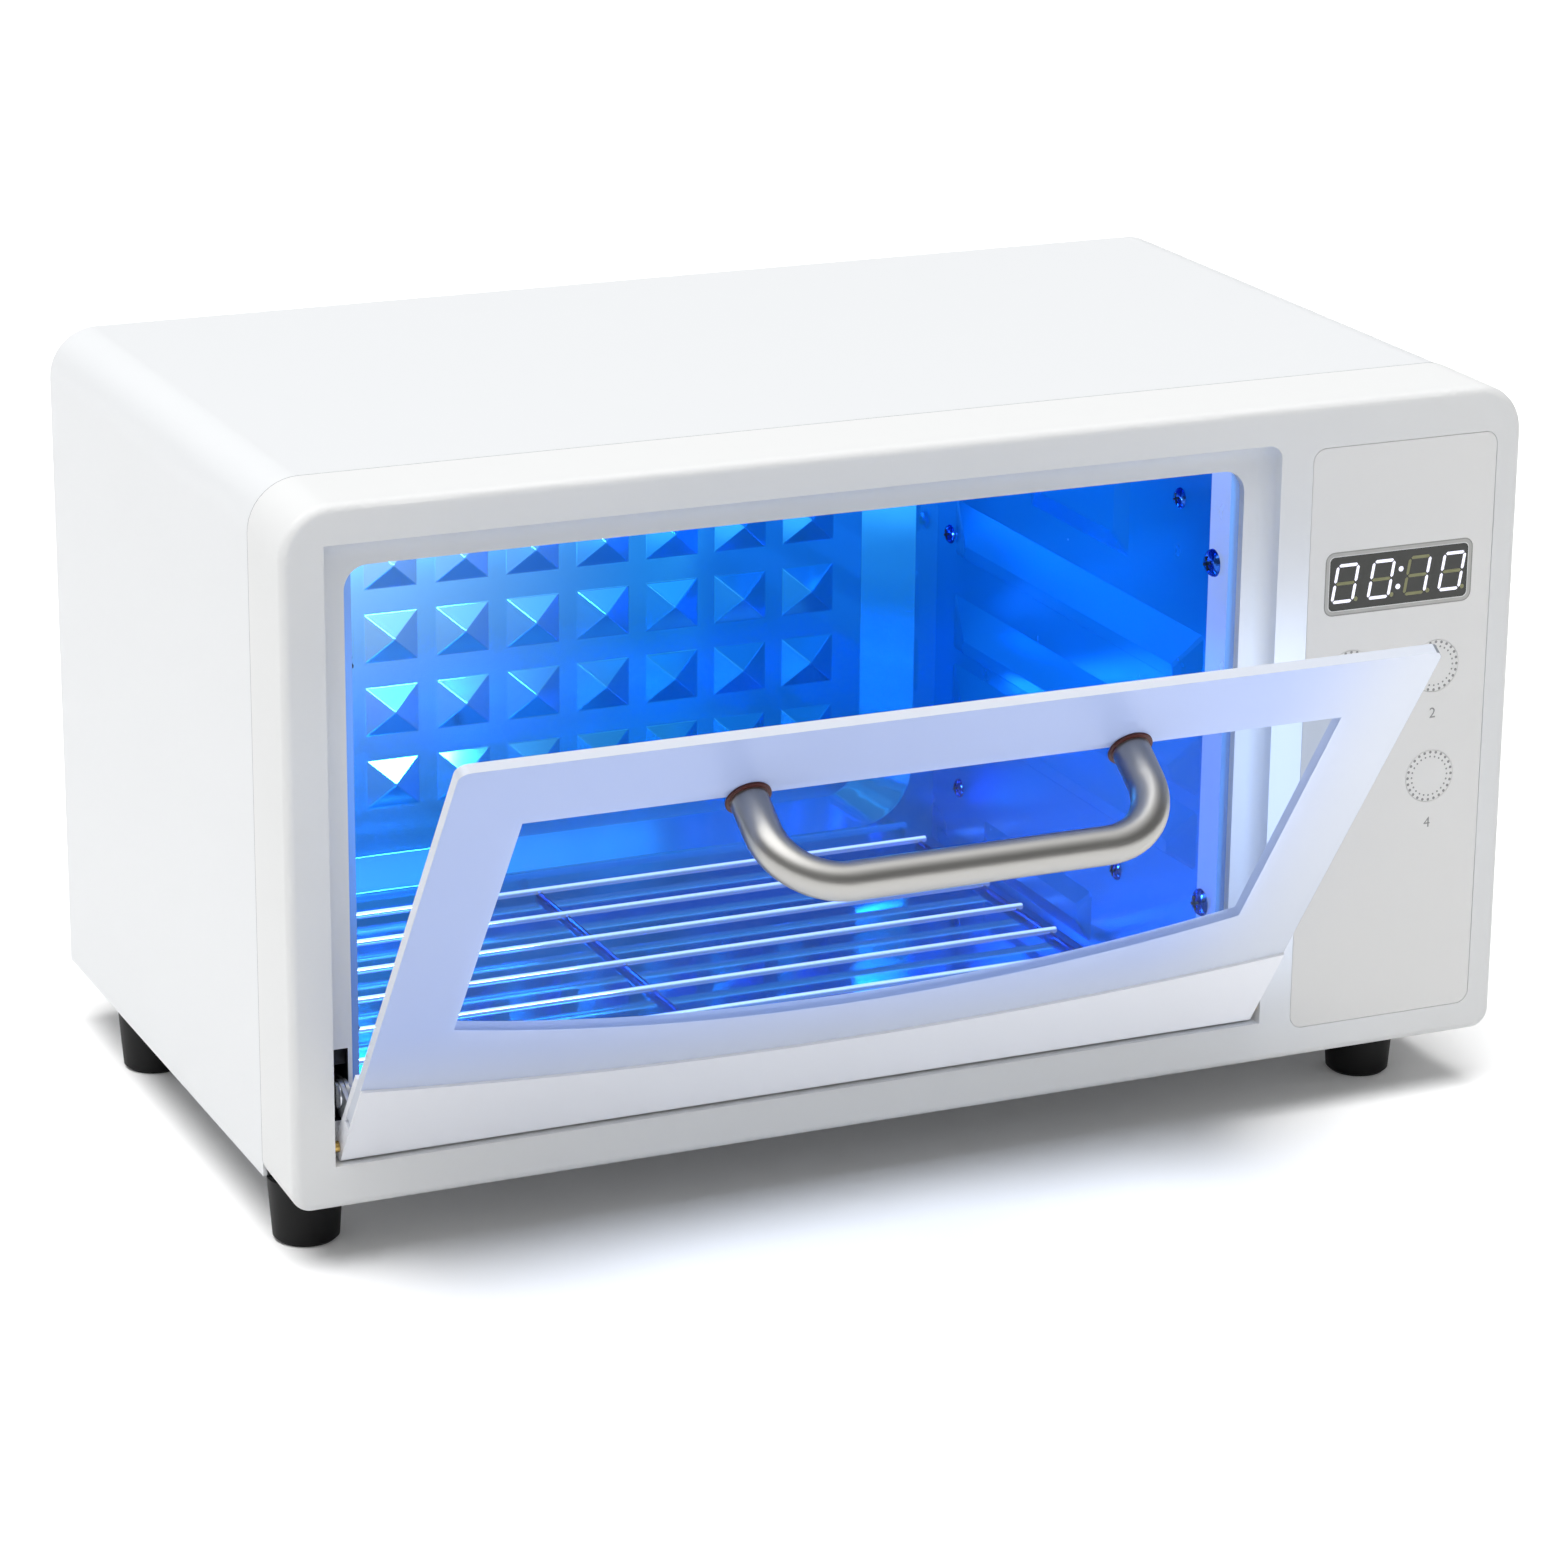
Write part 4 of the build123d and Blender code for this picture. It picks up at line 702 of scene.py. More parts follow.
class CABINET_OT_glass(bpy.types.Operator):
    """Make the glass with its printed border and clear window"""

    bl_idname = "cabinet.glass"
    bl_label = "Door glass"

    corner_round: length_property("Corner rounding", 3.0, "Radius of the glass's corners")
    edge_round: length_property("Edge rounding", 0.4, "Radius of the ground edge")
    arc_steps: IntProperty(name="Arc steps", description="Steps of the window's arc", default=24, min=4)

    def window_outline(self, low, high):
        """The clear window's outline: straight top and sides, and an arc along its foot."""
        size = sizes()
        left, right = low.x + size.window_left, high.x - size.window_right
        top = high.z - size.window_top
        foot = low.z + size.window_middle
        half = (right - left) / 2
        rise = size.window_ends - size.window_middle
        radius = (half * half + rise * rise) / (2 * rise)
        reach = math.asin(half / radius)
        corners = [Vector((left, low.y, top)), Vector((right, low.y, top))]
        for step in range(self.arc_steps + 1):
            angle = reach * (1 - 2 * step / self.arc_steps)
            x = (left + right) / 2 + radius * math.sin(angle)
            corners.append(Vector((x, low.y, foot + radius * (1 - math.cos(angle)))))
        return corners

    def execute(self, context):
        low, high = shut_box("door_glass")
        size = high - low
        middle = (low + high) / 2
        upright = Matrix.Translation((middle.x, low.y, middle.z)) @ Matrix.Rotation(RIGHT_ANGLE, 4, "X")
        wide = Matrix.Diagonal((size.x, size.z, 1.0, 1.0))
        shape = bmesh.new()
        pane = bmesh.ops.create_grid(shape, x_segments=1, y_segments=1, size=0.5)["verts"]
        bmesh.ops.transform(shape, matrix=upright @ wide, verts=pane)
        round_bevel(shape, pane, self.corner_round, segments=6, affect="VERTICES")
        outer = list(shape.edges)
        bmesh.ops.delete(shape, geom=list(shape.faces), context="FACES_ONLY")
        inner = closed_loop(shape, self.window_outline(low, high))
        bmesh.ops.triangle_fill(shape, edges=outer + inner, use_beauty=True)
        bmesh.ops.contextual_create(shape, geom=inner)
        thicken(shape, list(shape.faces), Vector((0, size.y, 0)))
        self.take_out_inner_walls(shape, low, high)
        self.share_out_finishes(shape, low, high)
        finishes = [ceramic_border(), clear_glass(), "ground glass edge", "shaded glass edge"]
        show_piece("glass_pane", shape, finishes, "door", "glass", ["door_glass"], place=door_opened)
        return {"FINISHED"}

    def take_out_inner_walls(self, shape, low, high):
        """Deletes the walls that the plate got along the window's outline, inside the glass."""
        margin = 5 * MM
        walls = [
            face
            for face in shape.faces
            if abs(face.normal.y) < 0.5
            and all(
                low[axis] + margin < corner.co[axis] < high[axis] - margin
                for corner in face.verts
                for axis in (0, 2)
            )
        ]
        bmesh.ops.delete(shape, geom=walls, context="FACES_ONLY")
        bmesh.ops.recalc_face_normals(shape, faces=shape.faces)

    def share_out_finishes(self, shape, low, high):
        """Gives the window, the edge and the edge's side in painted shade their finishes, and rounds the
        edge.
        """
        left, right = low.x + sizes().window_left, high.x - sizes().window_right
        for face in shape.faces:
            if abs(face.normal.y) < 0.5:
                face.material_index = 2
            elif len(face.verts) > 20 and left < face.calc_center_median().x < right:
                face.material_index = 1
        sharp = math.radians(60)
        whole = [edge for edge in shape.edges if len(edge.link_faces) == 2]
        outline = [edge for edge in whole if edge.calc_face_angle() > sharp]
        round_bevel(shape, outline, self.edge_round)
        # Painted shade: the edge's faces that look to +X get the dark finish
        for face in shape.faces:
            if face.normal.x > 0.3:
                face.material_index = 3


class CABINET_OT_handle(bpy.types.Operator):
    """Make the bent handle, its gaskets and its screws"""

    bl_idname = "cabinet.handle"
    bl_label = "Door handle"

    bend_steps: IntProperty(name="Bend steps", description="Steps of each bend", default=14, min=4)

    def bend(self, shape, ring, centre):
        """Turns the end ring of a tube through a right angle, and returns the new end ring."""
        corners = list({corner for edge in ring for corner in edge.verts})
        turned = bmesh.ops.spin(
            shape,
            geom=corners + ring,
            cent=centre,
            axis=Vector((0, 0, 1)),
            dvec=Vector((0, 0, 0)),
            angle=RIGHT_ANGLE,
            steps=self.bend_steps,
            use_merge=False,
            use_duplicate=False,
        )
        return only(BMEdge, turned["geom_last"])

    def straight(self, shape, ring, step):
        """Draws the end ring of a tube on in a straight line, and returns the new end ring."""
        drawn = bmesh.ops.extrude_edge_only(shape, edges=ring)["geom"]
        bmesh.ops.translate(shape, vec=step, verts=only(BMVert, drawn))
        return only(BMEdge, drawn)

    def execute(self, context):
        low, high = shut_box("door_handle")
        radius = (high.z - low.z) / 2
        turn = sizes().handle_bend
        foot = Vector((low.x + radius, high.y, (low.z + high.z) / 2))
        bend_y = low.y + radius + turn
        span = (high.x - low.x) - 2 * radius
        shape = bmesh.new()
        bmesh.ops.create_circle(
            shape,
            cap_ends=False,
            segments=32,
            radius=radius,
            matrix=Matrix.Translation(foot) @ Matrix.Rotation(RIGHT_ANGLE, 4, "X"),
        )
        ring = self.straight(shape, list(shape.edges), Vector((0, bend_y - foot.y, 0)))
        ring = self.bend(shape, ring, Vector((foot.x + turn, bend_y, foot.z)))
        ring = self.straight(shape, ring, Vector((span - 2 * turn, 0, 0)))
        ring = self.bend(shape, ring, Vector((foot.x + span - turn, bend_y, foot.z)))
        self.straight(shape, ring, Vector((0, foot.y - bend_y, 0)))
        bmesh.ops.remove_doubles(shape, verts=shape.verts, dist=0.01 * MM)
        bmesh.ops.holes_fill(shape, edges=[edge for edge in shape.edges if edge.is_boundary], sides=0)
        bmesh.ops.recalc_face_normals(shape, faces=shape.faces)
        show_piece(
            "handle_tube", shape, "satin nickel", "door", "satin_nickel", ["door_handle"], place=door_opened
        )
        show_copy("handle_gaskets", "dark red silicone", "door", "gasket", rounding=0.2)
        show_screws("handle_screw_set", "handle_screws", 1, lambda middle: 1, "door", place=door_opened)
        return {"FINISHED"}


class CABINET_OT_rail(bpy.types.Operator):
    """Dress the door's rail and hinge"""

    bl_idname = "cabinet.rail"
    bl_label = "Door rail and hinge"

    def execute(self, context):
        show_copy("door_rail", "rail ABS", "door", "rail_white")
        show_copy("hinge_ears", "zinc-plated sheet", "door", "galvanised", rounding=0.15)
        show_copy("ear_rivets", "nickel-plated screw", "door", "zinc_screw", rounding=0.2)
        show_copy("hinge_pins", "turned brass", "cabinet", "brass")
        for side in ("left", "right"):
            show_copy(f"{side}_link", "zinc-plated sheet", f"link_{side}", "galvanised")
        paint("oiled spring steel", "left_spring", "right_spring")
        paint("zinc-plated sheet", "spring_anchors")
        return {"FINISHED"}


class CABINET_OT_chamber(bpy.types.Operator):
    """Dress the pressed chamber, its screws and the lamp"""

    bl_idname = "cabinet.chamber"
    bl_label = "Chamber and lamp"

    def turn_outside(self, shape, axis, way):
        """Gives the faces that look away from the chamber the second finish."""
        for face in shape.faces:
            if face.normal[axis] * way > 0.3:
                face.material_index = 1
        return shape

    def pressed(self, node, width):
        """A copy of a pressed sheet with its formed edges rounded."""
        shape = copied(node)
        gentle, steep = math.radians(8), math.radians(75)
        formed = [
            edge
            for edge in shape.edges
            if len(edge.link_faces) == 2
            and gentle < edge.calc_face_angle() < steep
            and edge.calc_length() > 0.5 * MM
        ]
        round_bevel(shape, formed, width * MM)
        return shape

    def execute(self, context):
        zinc = "zinc-plated sheet"
        # The steels' blue colours and their glow are painted lamp light
        steel = [polished_steel(metallic=0.85), zinc]
        satin_steel = [polished_steel("satin stainless", 0.26, "#1074D0", 0.65, 0.22), zinc]
        for node, finishes, width, axis, way in (
            ("liner_left", satin_steel, 0.6, 0, -1),
            ("liner_right", satin_steel, 0.6, 0, 1),
            ("liner_back", steel, 0.25, 1, 1),
        ):
            sheet = self.turn_outside(self.pressed(node, width), axis, way)
            show_piece(node + "_shown", sheet, finishes, "cabinet", "stainless", [node], crease=50)
        # The floor's blue colour and glow are painted lamp light as well
        floor_steel = polished_steel("mirror stainless", 0.1, "#28A6D6", glow=0.26)
        show_copy("liner_floor", floor_steel, "cabinet", "stainless")
        ceiling = self.turn_outside(copied("liner_top"), 2, 1)
        show_piece("liner_top_shown", ceiling, steel, "cabinet", "stainless", ["liner_top"])
        middle = (chamber_left + chamber_right) / 2
        show_screws(
            "liner_screw_set", "liner_screws", 0, lambda place: middle - place.x, "cabinet", "lit screw"
        )
        show_copy("uv_lamp", "glowing quartz", "cabinet", "lamp_glass")
        show_copy("lamp_caps", "lamp cap aluminium", "cabinet", "lamp_cap")
        show_copy("lamp_holders", "lamp holder plastic", "cabinet", "holder_white", rounding=0.5)
        show_copy("lamp_reflector", steel, "cabinet", "stainless")
        return {"FINISHED"}


class CABINET_OT_rack(bpy.types.Operator):
    """Make the rack of round welded wires"""

    bl_idname = "cabinet.rack"
    bl_label = "Wire rack"

    cross_wires: IntProperty(name="Cross wires", description="Number of wires across", default=8, min=2)
    support_shift: length_property("Support shift", 7.75, "How far the middle support lies left")

    def wire(self, shape, start, end, radius):
        """Adds a wire with softly rounded ends."""
        corners = rod(shape, start, end, radius)
        edges = {edge for corner in corners for edge in corner.link_edges}
        round_bevel(shape, [edge for edge in edges if edge.calc_length() < radius], radius * 0.4, segments=3)

    def execute(self, context):
        low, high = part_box("wire_rack")
        radius = sizes().rack_wire / 2
        under, over = low.z + radius, high.z - radius
        middle = (low.x + high.x) / 2
        shape = bmesh.new()
        for x in (low.x + 2 * radius, middle - self.support_shift, high.x - 2 * radius):
            self.wire(shape, Vector((x, low.y, under)), Vector((x, high.y, under)), radius)
        # The supports get the darker blue finish: painted shade and painted lamp light
        for face in shape.faces:
            face.material_index = 1
        first, last = low.y + 2 * radius, high.y - 2 * radius
        for number in range(self.cross_wires):
            y = first + (last - first) * number / (self.cross_wires - 1)
            self.wire(shape, Vector((low.x, y, over)), Vector((high.x, y, over)), radius)
        finishes = [bright_wire(), "shaded wire"]
        show_piece("rack_wires", shape, finishes, "rack", "rack_wire", ["wire_rack"])
        return {"FINISHED"}


class CABINET_OT_panel(bpy.types.Operator):
    """Dress the control film and print the keys' rings and numbers"""

    bl_idname = "cabinet.panel"
    bl_label = "Control film and keys"

    dots: IntProperty(name="Dots", description="Number of dots in each ring", default=24, min=6)

    def execute(self, context):
        size = sizes()
        show_copy("control_film", "matt polyester film", "cabinet", "film")
        for number in range(1, 5):
            key = f"key_{number}"
            show_copy(key, "matt polyester film", key, "film")
            low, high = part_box(key)
            middle = Vector(((low.x + high.x) / 2, low.y, (low.z + high.z) / 2))
            shape = bmesh.new()
            for radius, dot in ((size.ring_outer, size.dot_outer), (size.ring_inner, size.dot_inner)):
                for step in range(self.dots):
                    angle = math.tau * step / self.dots
                    spot = middle + Vector((math.cos(angle), 0, math.sin(angle))) * radius
                    rod(shape, spot, spot - Vector((0, size.ink_height, 0)), dot, sides=10)
            show_piece(f"{key}_ring", shape, "grey ink", key, "film")
            self.print_number(number, middle)
        return {"FINISHED"}

    def print_number(self, number, middle):
        """Prints a plain number under a key."""
        size = sizes()
        curve = bpy.data.curves.new(f"number_{number}_curve", "FONT")
        curve.body = str(number)
        curve.align_x = "CENTER"
        curve.size = size.number_height / FIGURE_SHARE
        curve.extrude = size.ink_height / 2
        holder = bpy.data.objects.new(f"number_{number}_text", curve)
        bpy.context.scene.collection.objects.link(holder)
        graph = bpy.context.evaluated_depsgraph_get()
        mesh = bpy.data.meshes.new_from_object(holder.evaluated_get(graph))
        bpy.data.objects.remove(holder)
        shape = bmesh.new()
        shape.from_mesh(mesh)
        bpy.data.meshes.remove(mesh)
        bmesh.ops.remove_doubles(shape, verts=shape.verts, dist=0.001 * MM)
        foot_z = middle.z - size.number_drop - size.number_height
        foot = Vector((middle.x, film_low.y - size.ink_height / 2, foot_z))
        place = Matrix.Translation(foot) @ Matrix.Rotation(RIGHT_ANGLE, 4, "X")
        show_piece(f"number_{number}", shape, "grey ink", "cabinet", "film", place=place)


class CABINET_OT_display(bpy.types.Operator):
    """Make the display's digits, colon and frame"""

    bl_idname = "cabinet.display"
    bl_label = "Display"

    shown: StringProperty(name="Shown", description="The digits that the display shows", default="0010")
    slant: angle_property("Slant", 9.0, "Slant of the digits")

    # Which segments are lit: top, upper right, lower right, bottom, lower left, upper left and middle
    LIT = {"0": "1111110", "1": "0110000"}
    # All in millimetres: each digit's distance from the lens's left end, and, from a digit's foot, the place
    # and radius of the unlit point and of the colon's two dots
    DIGIT_PLACES = (0.5, 11.9, 23.4, 34.5)
    POINT = (7.9, 0.8, 0.65)
    COLON = ((9.5, 2.9, 0.77), (9.5, 7.9, 0.77))

    def execute(self, context):
        show_copy("display_lens", "dark acrylic", "cabinet", "display_black")
        lit, unlit = bmesh.new(), bmesh.new()
        foot = Vector((0, lens_low.y, (lens_low.z + lens_high.z) / 2 - sizes().digit_height / 2))
        for gap, digit in zip(self.DIGIT_PLACES, self.shown):
            foot.x = lens_low.x + gap * MM
            for outline, on in zip(self.digit(), self.LIT[digit]):
                self.plate(lit if on == "1" else unlit, outline, foot)
            self.dot(unlit, foot, *self.POINT)
        foot.x = lens_low.x + self.DIGIT_PLACES[1] * MM
        for dot in self.COLON:
            self.dot(lit, foot, *dot)
        show_piece("lit_segments", lit, "lit segment", "cabinet", "display_black")
        show_piece("unlit_segments", unlit, "unlit segment", "cabinet", "display_black")
        self.frame_round_lens()
        return {"FINISHED"}

    def segment(self, start, end):
        """A segment's six corners, from one pointed end to the other."""
        half = sizes().digit_stroke / 2
        along = (end - start).normalized()
        across = Vector((-along.y, along.x)) * half
        tip, far_tip = start + along * half, end - along * half
        return [start, tip + across, far_tip + across, end, far_tip - across, tip - across]

    def digit(self):
        """The outlines of a digit's seven segments, before the slant."""
        size = sizes()
        half, gap = size.digit_stroke / 2, size.digit_gap / 2
        left, right = half, size.digit_width - half
        low, high = half, size.digit_height - half
        middle = size.digit_height / 2
        ends = (
            ((left + gap, high), (right - gap, high)),
            ((right, high - gap), (right, middle + gap)),
            ((right, middle - gap), (right, low + gap)),
            ((right - gap, low), (left + gap, low)),
            ((left, low + gap), (left, middle - gap)),
            ((left, middle + gap), (left, high - gap)),
            ((left + gap, middle), (right - gap, middle)),
        )
        return [self.segment(Vector(start), Vector(end)) for start, end in ends]

    def leaning(self, foot, aside, height):
        """A point on the lens, moved by the digits' slant."""
        return foot + Vector((aside + math.tan(self.slant) * height, 0, height))

    def plate(self, shape, outline, foot):
        """Adds one thin segment on the lens."""
        corners = [shape.verts.new(self.leaning(foot, point.x, point.y)) for point in outline]
        thicken(shape, [shape.faces.new(corners)], Vector((0, -sizes().ink_height, 0)))

    def dot(self, shape, foot, aside, height, radius):
        """Adds one round dot on the lens, with its place and radius in millimetres."""
        spot = self.leaning(foot, aside * MM, height * MM)
        rod(shape, spot, spot - Vector((0, sizes().ink_height, 0)), radius * MM, sides=20)

    def frame_round_lens(self):
        """Prints the thin grey frame with its darker line round the lens."""
        # The margins of each ring's inner and outer edge are in millimetres
        for name, ink, inner, outer in (
            ("display_frame", "frame pale", 0.2, 1.1),
            ("display_outline", "frame grey", 1.1, 1.45),
        ):
            shape = bmesh.new()
            loops = self.rounded_loop(shape, inner * MM) + self.rounded_loop(shape, outer * MM)
            bmesh.ops.bridge_loops(shape, edges=loops)
            thicken(shape, list(shape.faces), Vector((0, -sizes().ink_height, 0)))
            show_piece(name, shape, ink, "cabinet", "film")

    def rounded_loop(self, shape, margin, lens_round=1.3 * MM, steps=5):
        """Adds a rounded rectangle round the lens on the film, and returns its edges."""
        radius = lens_round + margin
        left, right = lens_low.x - margin + radius, lens_high.x + margin - radius
        foot, top = lens_low.z - margin + radius, lens_high.z + margin - radius
        corners = []
        for x, z, start in ((right, top, 0), (left, top, 90), (left, foot, 180), (right, foot, 270)):
            for step in range(steps + 1):
                angle = math.radians(start + 90 * step / steps)
                aside, rise = radius * math.cos(angle), radius * math.sin(angle)
                corners.append(Vector((x + aside, film_low.y, z + rise)))
        return closed_loop(shape, corners)


class CABINET_OT_feet(bpy.types.Operator):
    """Dress the rubber feet and their screws"""

    bl_idname = "cabinet.feet"
    bl_label = "Feet"

    def execute(self, context):
        show_copy("feet", "black rubber", "cabinet", "black_rubber")
        show_copy("foot_screws", "nickel-plated screw", "cabinet", "zinc_screw", rounding=0.2)
        return {"FINISHED"}


class CABINET_OT_inside(bpy.types.Operator):
    """Paint the boards, the inlet and what else is behind the walls"""

    bl_idname = "cabinet.inside"
    bl_label = "Boards and inlet"

    def execute(self, context):
        show_copy("power_inlet", "black nylon", "cabinet", "black_plastic")
        show_copy("inlet_contacts", "turned brass", "cabinet", "brass")
        paint("green solder resist", "control_board", "power_board")
        paint("component case", "power_parts", "tact_switches", "lamp_ballast")
        paint("black nylon", "display_module", "board_standoffs")
        paint("nickel-plated screw", "control_board_screws")
        return {"FINISHED"}


# What the tube's light falls on inside the chamber, and what it reaches outside
LIT_BY_TUBE = (
    "liner_left_shown",
    "liner_right_shown",
    "liner_back_shown",
    "liner_floor_shown",
    "liner_top_shown",
    "liner_screw_set",
    "rack_wires",
    "lamp_holders_shown",
    "lamp_caps_shown",
    "uv_lamp_shown",
    "lamp_reflector_shown",
)
LIT_THROUGH_DOOR = ("glass_pane", "door_rail_shown", "handle_gaskets_shown")


class CABINET_OT_stage(bpy.types.Operator):
    """Make the floor, the lights, the white surroundings and the camera"""

    bl_idname = "cabinet.stage"
    bl_label = "Stage"

    azimuth: angle_property("Azimuth", -24.0, "Camera's turn")
    elevation: angle_property("Elevation", 18.2, "Camera's height")
    roll: angle_property("Roll", 0.55, "Camera's roll")
    distance: length_property("Distance", 1346.0, "Camera's distance")
    focal_pixels: number_property("Focal length", 5078.0, "In pixels of the photograph")
    fill: number_property("Fill", 0.5, "Light from all round")
    front_fill: number_property("Front fill", 0.25, "Light from the front")
    light_aside: length_property("Light aside", 30.0, "How far the tube's light lies left of its middle")
    light_ahead: length_property("Light ahead", 84.0, "How far the tube's light lies before the tube")
    front_strength: number_property("Front light", 0.3, "Strength of the light from above the camera")
    door_power: number_property("Door light", 1.0, "Power of the light under the open door")
    studio_dark: number_property("Studio", 0.2, "Brightness of the studio that metal shows")
    floor_lift: number_property("Floor lift", 0.04, "Added white of the floor")

    # The point that the camera looks at, and where the two lights at the door stand and aim
    AIM = (-0.0436, -0.0528, 0.1208)
    UNDER_DOOR = ((0.32, -0.45, 0.03), (-0.03, -0.09, 0.1))
    BEHIND_DOOR = ((0.107, -0.078, 0.1), (0.107, 0.0, 0.1))

    def execute(self, context):
        scene = context.scene
        scene.view_settings.view_transform = "Standard"
        self.make_floor()
        self.make_world(scene)
        self.make_lights()
        scene.camera = self.make_camera()
        return {"FINISHED"}

    def seen_directly(self, tree):
        """1 for the camera's rays and for what metal and glass show, 0 for light."""
        path = add_node(tree, "LightPath").outputs
        camera, glossy, through = (path[f"Is {ray} Ray"] for ray in ("Camera", "Glossy", "Transmission"))
        either = add_node(tree, "Math", {0: camera, 1: glossy}, operation="MAXIMUM")
        return add_node(tree, "Math", {0: either, 1: through}, operation="MAXIMUM")

    def make_floor(self):
        """A pale floor that keeps the cabinet's shadow and is white elsewhere."""

        def build(tree):
            seen = self.seen_directly(tree)
            tones = {"Factor": seen, "A": "#C4C4C4", "B": "#FAFAFA"}
            colour = add_node(tree, "Mix", tones, data_type="RGBA")
            paint_layer = add_node(tree, "BsdfDiffuse", {"Color": colour})
            lift = add_node(tree, "Math", {0: seen, 1: self.floor_lift}, operation="MULTIPLY")
            white = add_node(tree, "Emission", {"Color": "#FFFFFF", "Strength": lift})
            return add_node(tree, "AddShader", {0: paint_layer, 1: white})

        shape = bmesh.new()
        bmesh.ops.create_grid(shape, x_segments=1, y_segments=1, size=6.0)
        mesh = bpy.data.meshes.new("floor")
        shape.to_mesh(mesh)
        shape.free()
        mesh.materials.append(finish("pale floor", build))
        floor = bpy.data.objects.new("floor", mesh)
        bpy.context.scene.collection.objects.link(floor)

    def make_world(self, scene):
        """White surroundings, which light the cabinet less than they show.

        Metal shows a dark studio that is white overhead and below."""
        world = bpy.data.worlds.new("studio")
        scene.world = world
        world.use_nodes = True
        tree = world.node_tree
        tree.nodes.clear()
        direction = add_node(tree, "SeparateXYZ", {"Vector": add_node(tree, "TexCoord").outputs["Generated"]})
        front_fill, overhead, below = (
            add_node(tree, "MapRange", dict(zip(RAMP, (direction.outputs[axis], *span))), **SOFT)
            for axis, *span in (
                ("Y", -1.0, 0.3, self.front_fill, self.fill),
                ("Z", 0.6, 0.95, self.studio_dark, 1.0),
                ("Z", -0.15, 0.05, 1.0, 0.0),
            )
        )
        bright = add_node(tree, "Math", {0: overhead, 1: below}, operation="MAXIMUM")
        soft, mirrored, shown = (
            add_node(tree, "Background", {"Color": "#FFFFFF", "Strength": strength})
            for strength in (front_fill, bright, 1.0)
        )
        glossy = add_node(tree, "LightPath").outputs["Is Glossy Ray"]
        metal = add_node(tree, "MixShader", {"Fac": glossy, 1: shown, 2: mirrored})
        mixed = add_node(tree, "MixShader", {"Fac": self.seen_directly(tree), 1: soft, 2: metal})
        add_node(tree, "OutputWorld", {"Surface": mixed})

    def make_lights(self):
        """Suns for the cabinet and for the floor, lights round the door, and the lamp's light."""
        on_floor = self.collect("only the floor", ["floor"])
        but_floor = self.collect("all but the floor", ["floor"])
        but_floor.collection_objects[0].light_linking.link_state = "EXCLUDE"
        on_bezel = self.collect("bezel", ["front_bezel_shown"])
        on_door = self.collect("lit through the door", LIT_THROUGH_DOOR)
        in_chamber = self.collect("lit by the tube", LIT_BY_TUBE)
        for name in LIT_BY_TUBE:
            bpy.data.objects[name].light_linking.receiver_collection = in_chamber
        self.sun("light above", (-0.3, 0.0, 1.0), 2.18, 70, but_floor)
        self.sun("light on the floor", (-0.16, -0.14, 1.0), 3.6, 50, on_floor)
        hidden = [self.sun("front light", (0.15, -1.0, 0.9), self.front_strength, 50, but_floor)]
        place, aim = map(Vector, self.UNDER_DOOR)
        under_door = self.panel("light under the door", place, aim, (0.2, 0.08), self.door_power, on_door)
        place, aim = map(Vector, self.BEHIND_DOOR)
        behind = self.panel("light behind the door", place, aim, (0.02, 0.09), 0.014, on_bezel, "#B8D2FF")
        hidden += [under_door, behind]
        for light in hidden:
            light.visible_camera = False
            light.visible_glossy = False
        low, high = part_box("uv_lamp")
        length, width = high.x - low.x, high.y - low.y
        place = Vector(((low.x + high.x) / 2, (low.y + high.y) / 2, low.z - 1 * MM))
        aim = Vector((place.x, place.y - 0.05, floor_z))
        spill = self.panel("tube spill", place, aim, (length, width), 0.4, on_door, "#A4C8FF")
        aim = Vector((place.x - self.light_aside, place.y + 0.05, floor_z))
        place -= Vector((self.light_aside, self.light_ahead, 0))
        inside = self.panel("tube light", place, aim, (length * 0.7, width), 1.0, in_chamber, "lamp")
        for light in (under_door, spill, inside):
            light.data.cycles.max_bounces = 0

    def collect(self, name, pieces):
        """A collection that holds some pieces for a light to fall on."""
        collection = bpy.data.collections.new(name)
        for piece in pieces:
            collection.objects.link(bpy.data.objects[piece])
        return collection

    def light(self, name, kind, place, turn, power, receivers):
        """A light that falls on some pieces alone."""
        data = bpy.data.lights.new(name, kind)
        data.energy = power
        light = bpy.data.objects.new(name, data)
        light.location = place
        light.rotation_euler = turn.to_euler()
        light.light_linking.receiver_collection = receivers
        bpy.context.scene.collection.objects.link(light)
        return light

    def panel(self, name, place, aim, size, power, receivers, colour="#FFFFFF"):
        """A soft rectangular light."""
        turn = (aim - place).to_track_quat("-Z", "Y")
        light = self.light(name, "AREA", place, turn, power, receivers)
        light.data.shape = "RECTANGLE"
        light.data.size, light.data.size_y = size
        light.data.color = tone(colour)[:3]
        return light

    def sun(self, name, direction, strength, spread, receivers):
        """A wide, even light that comes from a direction."""
        turn = Vector(direction).to_track_quat("Z", "Y")
        light = self.light(name, "SUN", (0, 0, 0), turn, strength, receivers)
        light.data.angle = math.radians(spread)
        return light

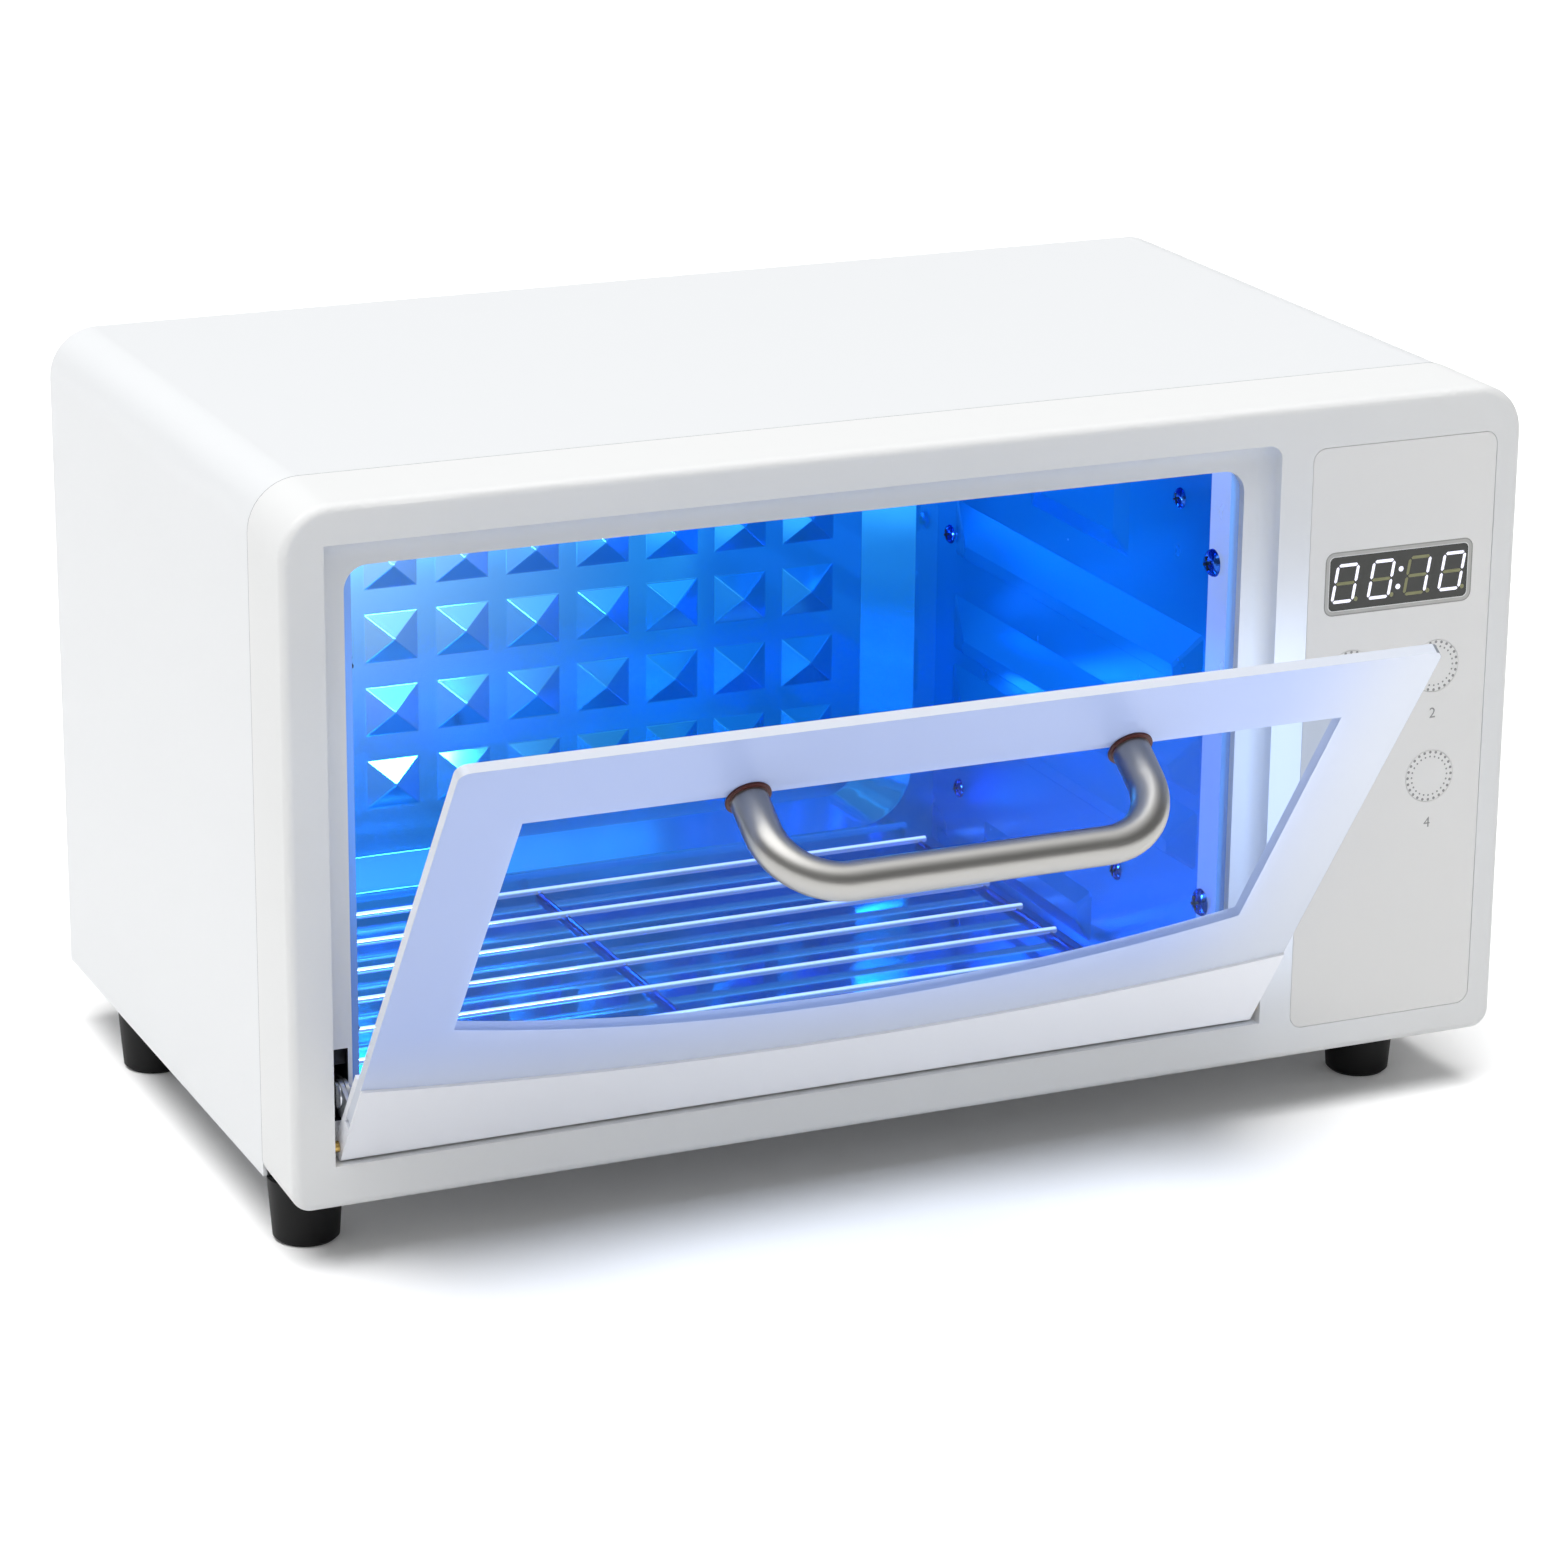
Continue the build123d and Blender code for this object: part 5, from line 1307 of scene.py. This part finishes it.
    def make_camera(self):
        """The camera at the photograph's viewing angle."""
        aim = Vector(self.AIM)
        level = math.cos(self.elevation)
        away = Vector(
            (math.sin(self.azimuth) * level, -math.cos(self.azimuth) * level, math.sin(self.elevation))
        )
        data = bpy.data.cameras.new("camera")
        data.sensor_width = SENSOR
        data.lens = self.focal_pixels / PHOTO_SIDE * SENSOR
        data.clip_start = 0.05
        data.clip_end = 50.0
        camera = bpy.data.objects.new("camera", data)
        camera.location = aim + away * self.distance
        facing = (-away).to_track_quat("-Z", "Y").to_matrix().to_4x4()
        camera.rotation_euler = (facing @ Matrix.Rotation(self.roll, 4, "Z")).to_euler()
        bpy.context.scene.collection.objects.link(camera)
        return camera


class CABINET_PT_panel(bpy.types.Panel):
    """Buttons that make each group of pieces"""

    bl_idname = "CABINET_PT_panel"
    bl_label = "Sterilizer cabinet"
    bl_space_type = "VIEW_3D"
    bl_region_type = "UI"
    bl_category = "Cabinet"

    def draw(self, context):
        for operator in OPERATORS:
            self.layout.operator(operator.bl_idname)


OPERATORS = (
    CABINET_OT_casing,
    CABINET_OT_bezel,
    CABINET_OT_glass,
    CABINET_OT_handle,
    CABINET_OT_rail,
    CABINET_OT_chamber,
    CABINET_OT_rack,
    CABINET_OT_panel,
    CABINET_OT_display,
    CABINET_OT_feet,
    CABINET_OT_inside,
    CABINET_OT_stage,
)
CLASSES = (CabinetSizes, CabinetColours, *OPERATORS, CABINET_PT_panel)


def register():
    for entry in CLASSES:
        bpy.utils.register_class(entry)
    bpy.types.Scene.cabinet_sizes = PointerProperty(type=CabinetSizes)
    bpy.types.Scene.cabinet_colours = PointerProperty(type=CabinetColours)


def unregister():
    del bpy.types.Scene.cabinet_colours
    del bpy.types.Scene.cabinet_sizes
    for entry in reversed(CLASSES):
        bpy.utils.unregister_class(entry)


def main():
    """Makes the whole cabinet."""
    register()
    bpy.ops.cabinet.casing()
    bpy.ops.cabinet.bezel()
    bpy.ops.cabinet.glass()
    bpy.ops.cabinet.handle()
    bpy.ops.cabinet.rail()
    bpy.ops.cabinet.chamber()
    bpy.ops.cabinet.rack()
    bpy.ops.cabinet.panel()
    bpy.ops.cabinet.display()
    bpy.ops.cabinet.feet()
    bpy.ops.cabinet.inside()
    bpy.ops.cabinet.stage()


if __name__ == "__main__":
    main()
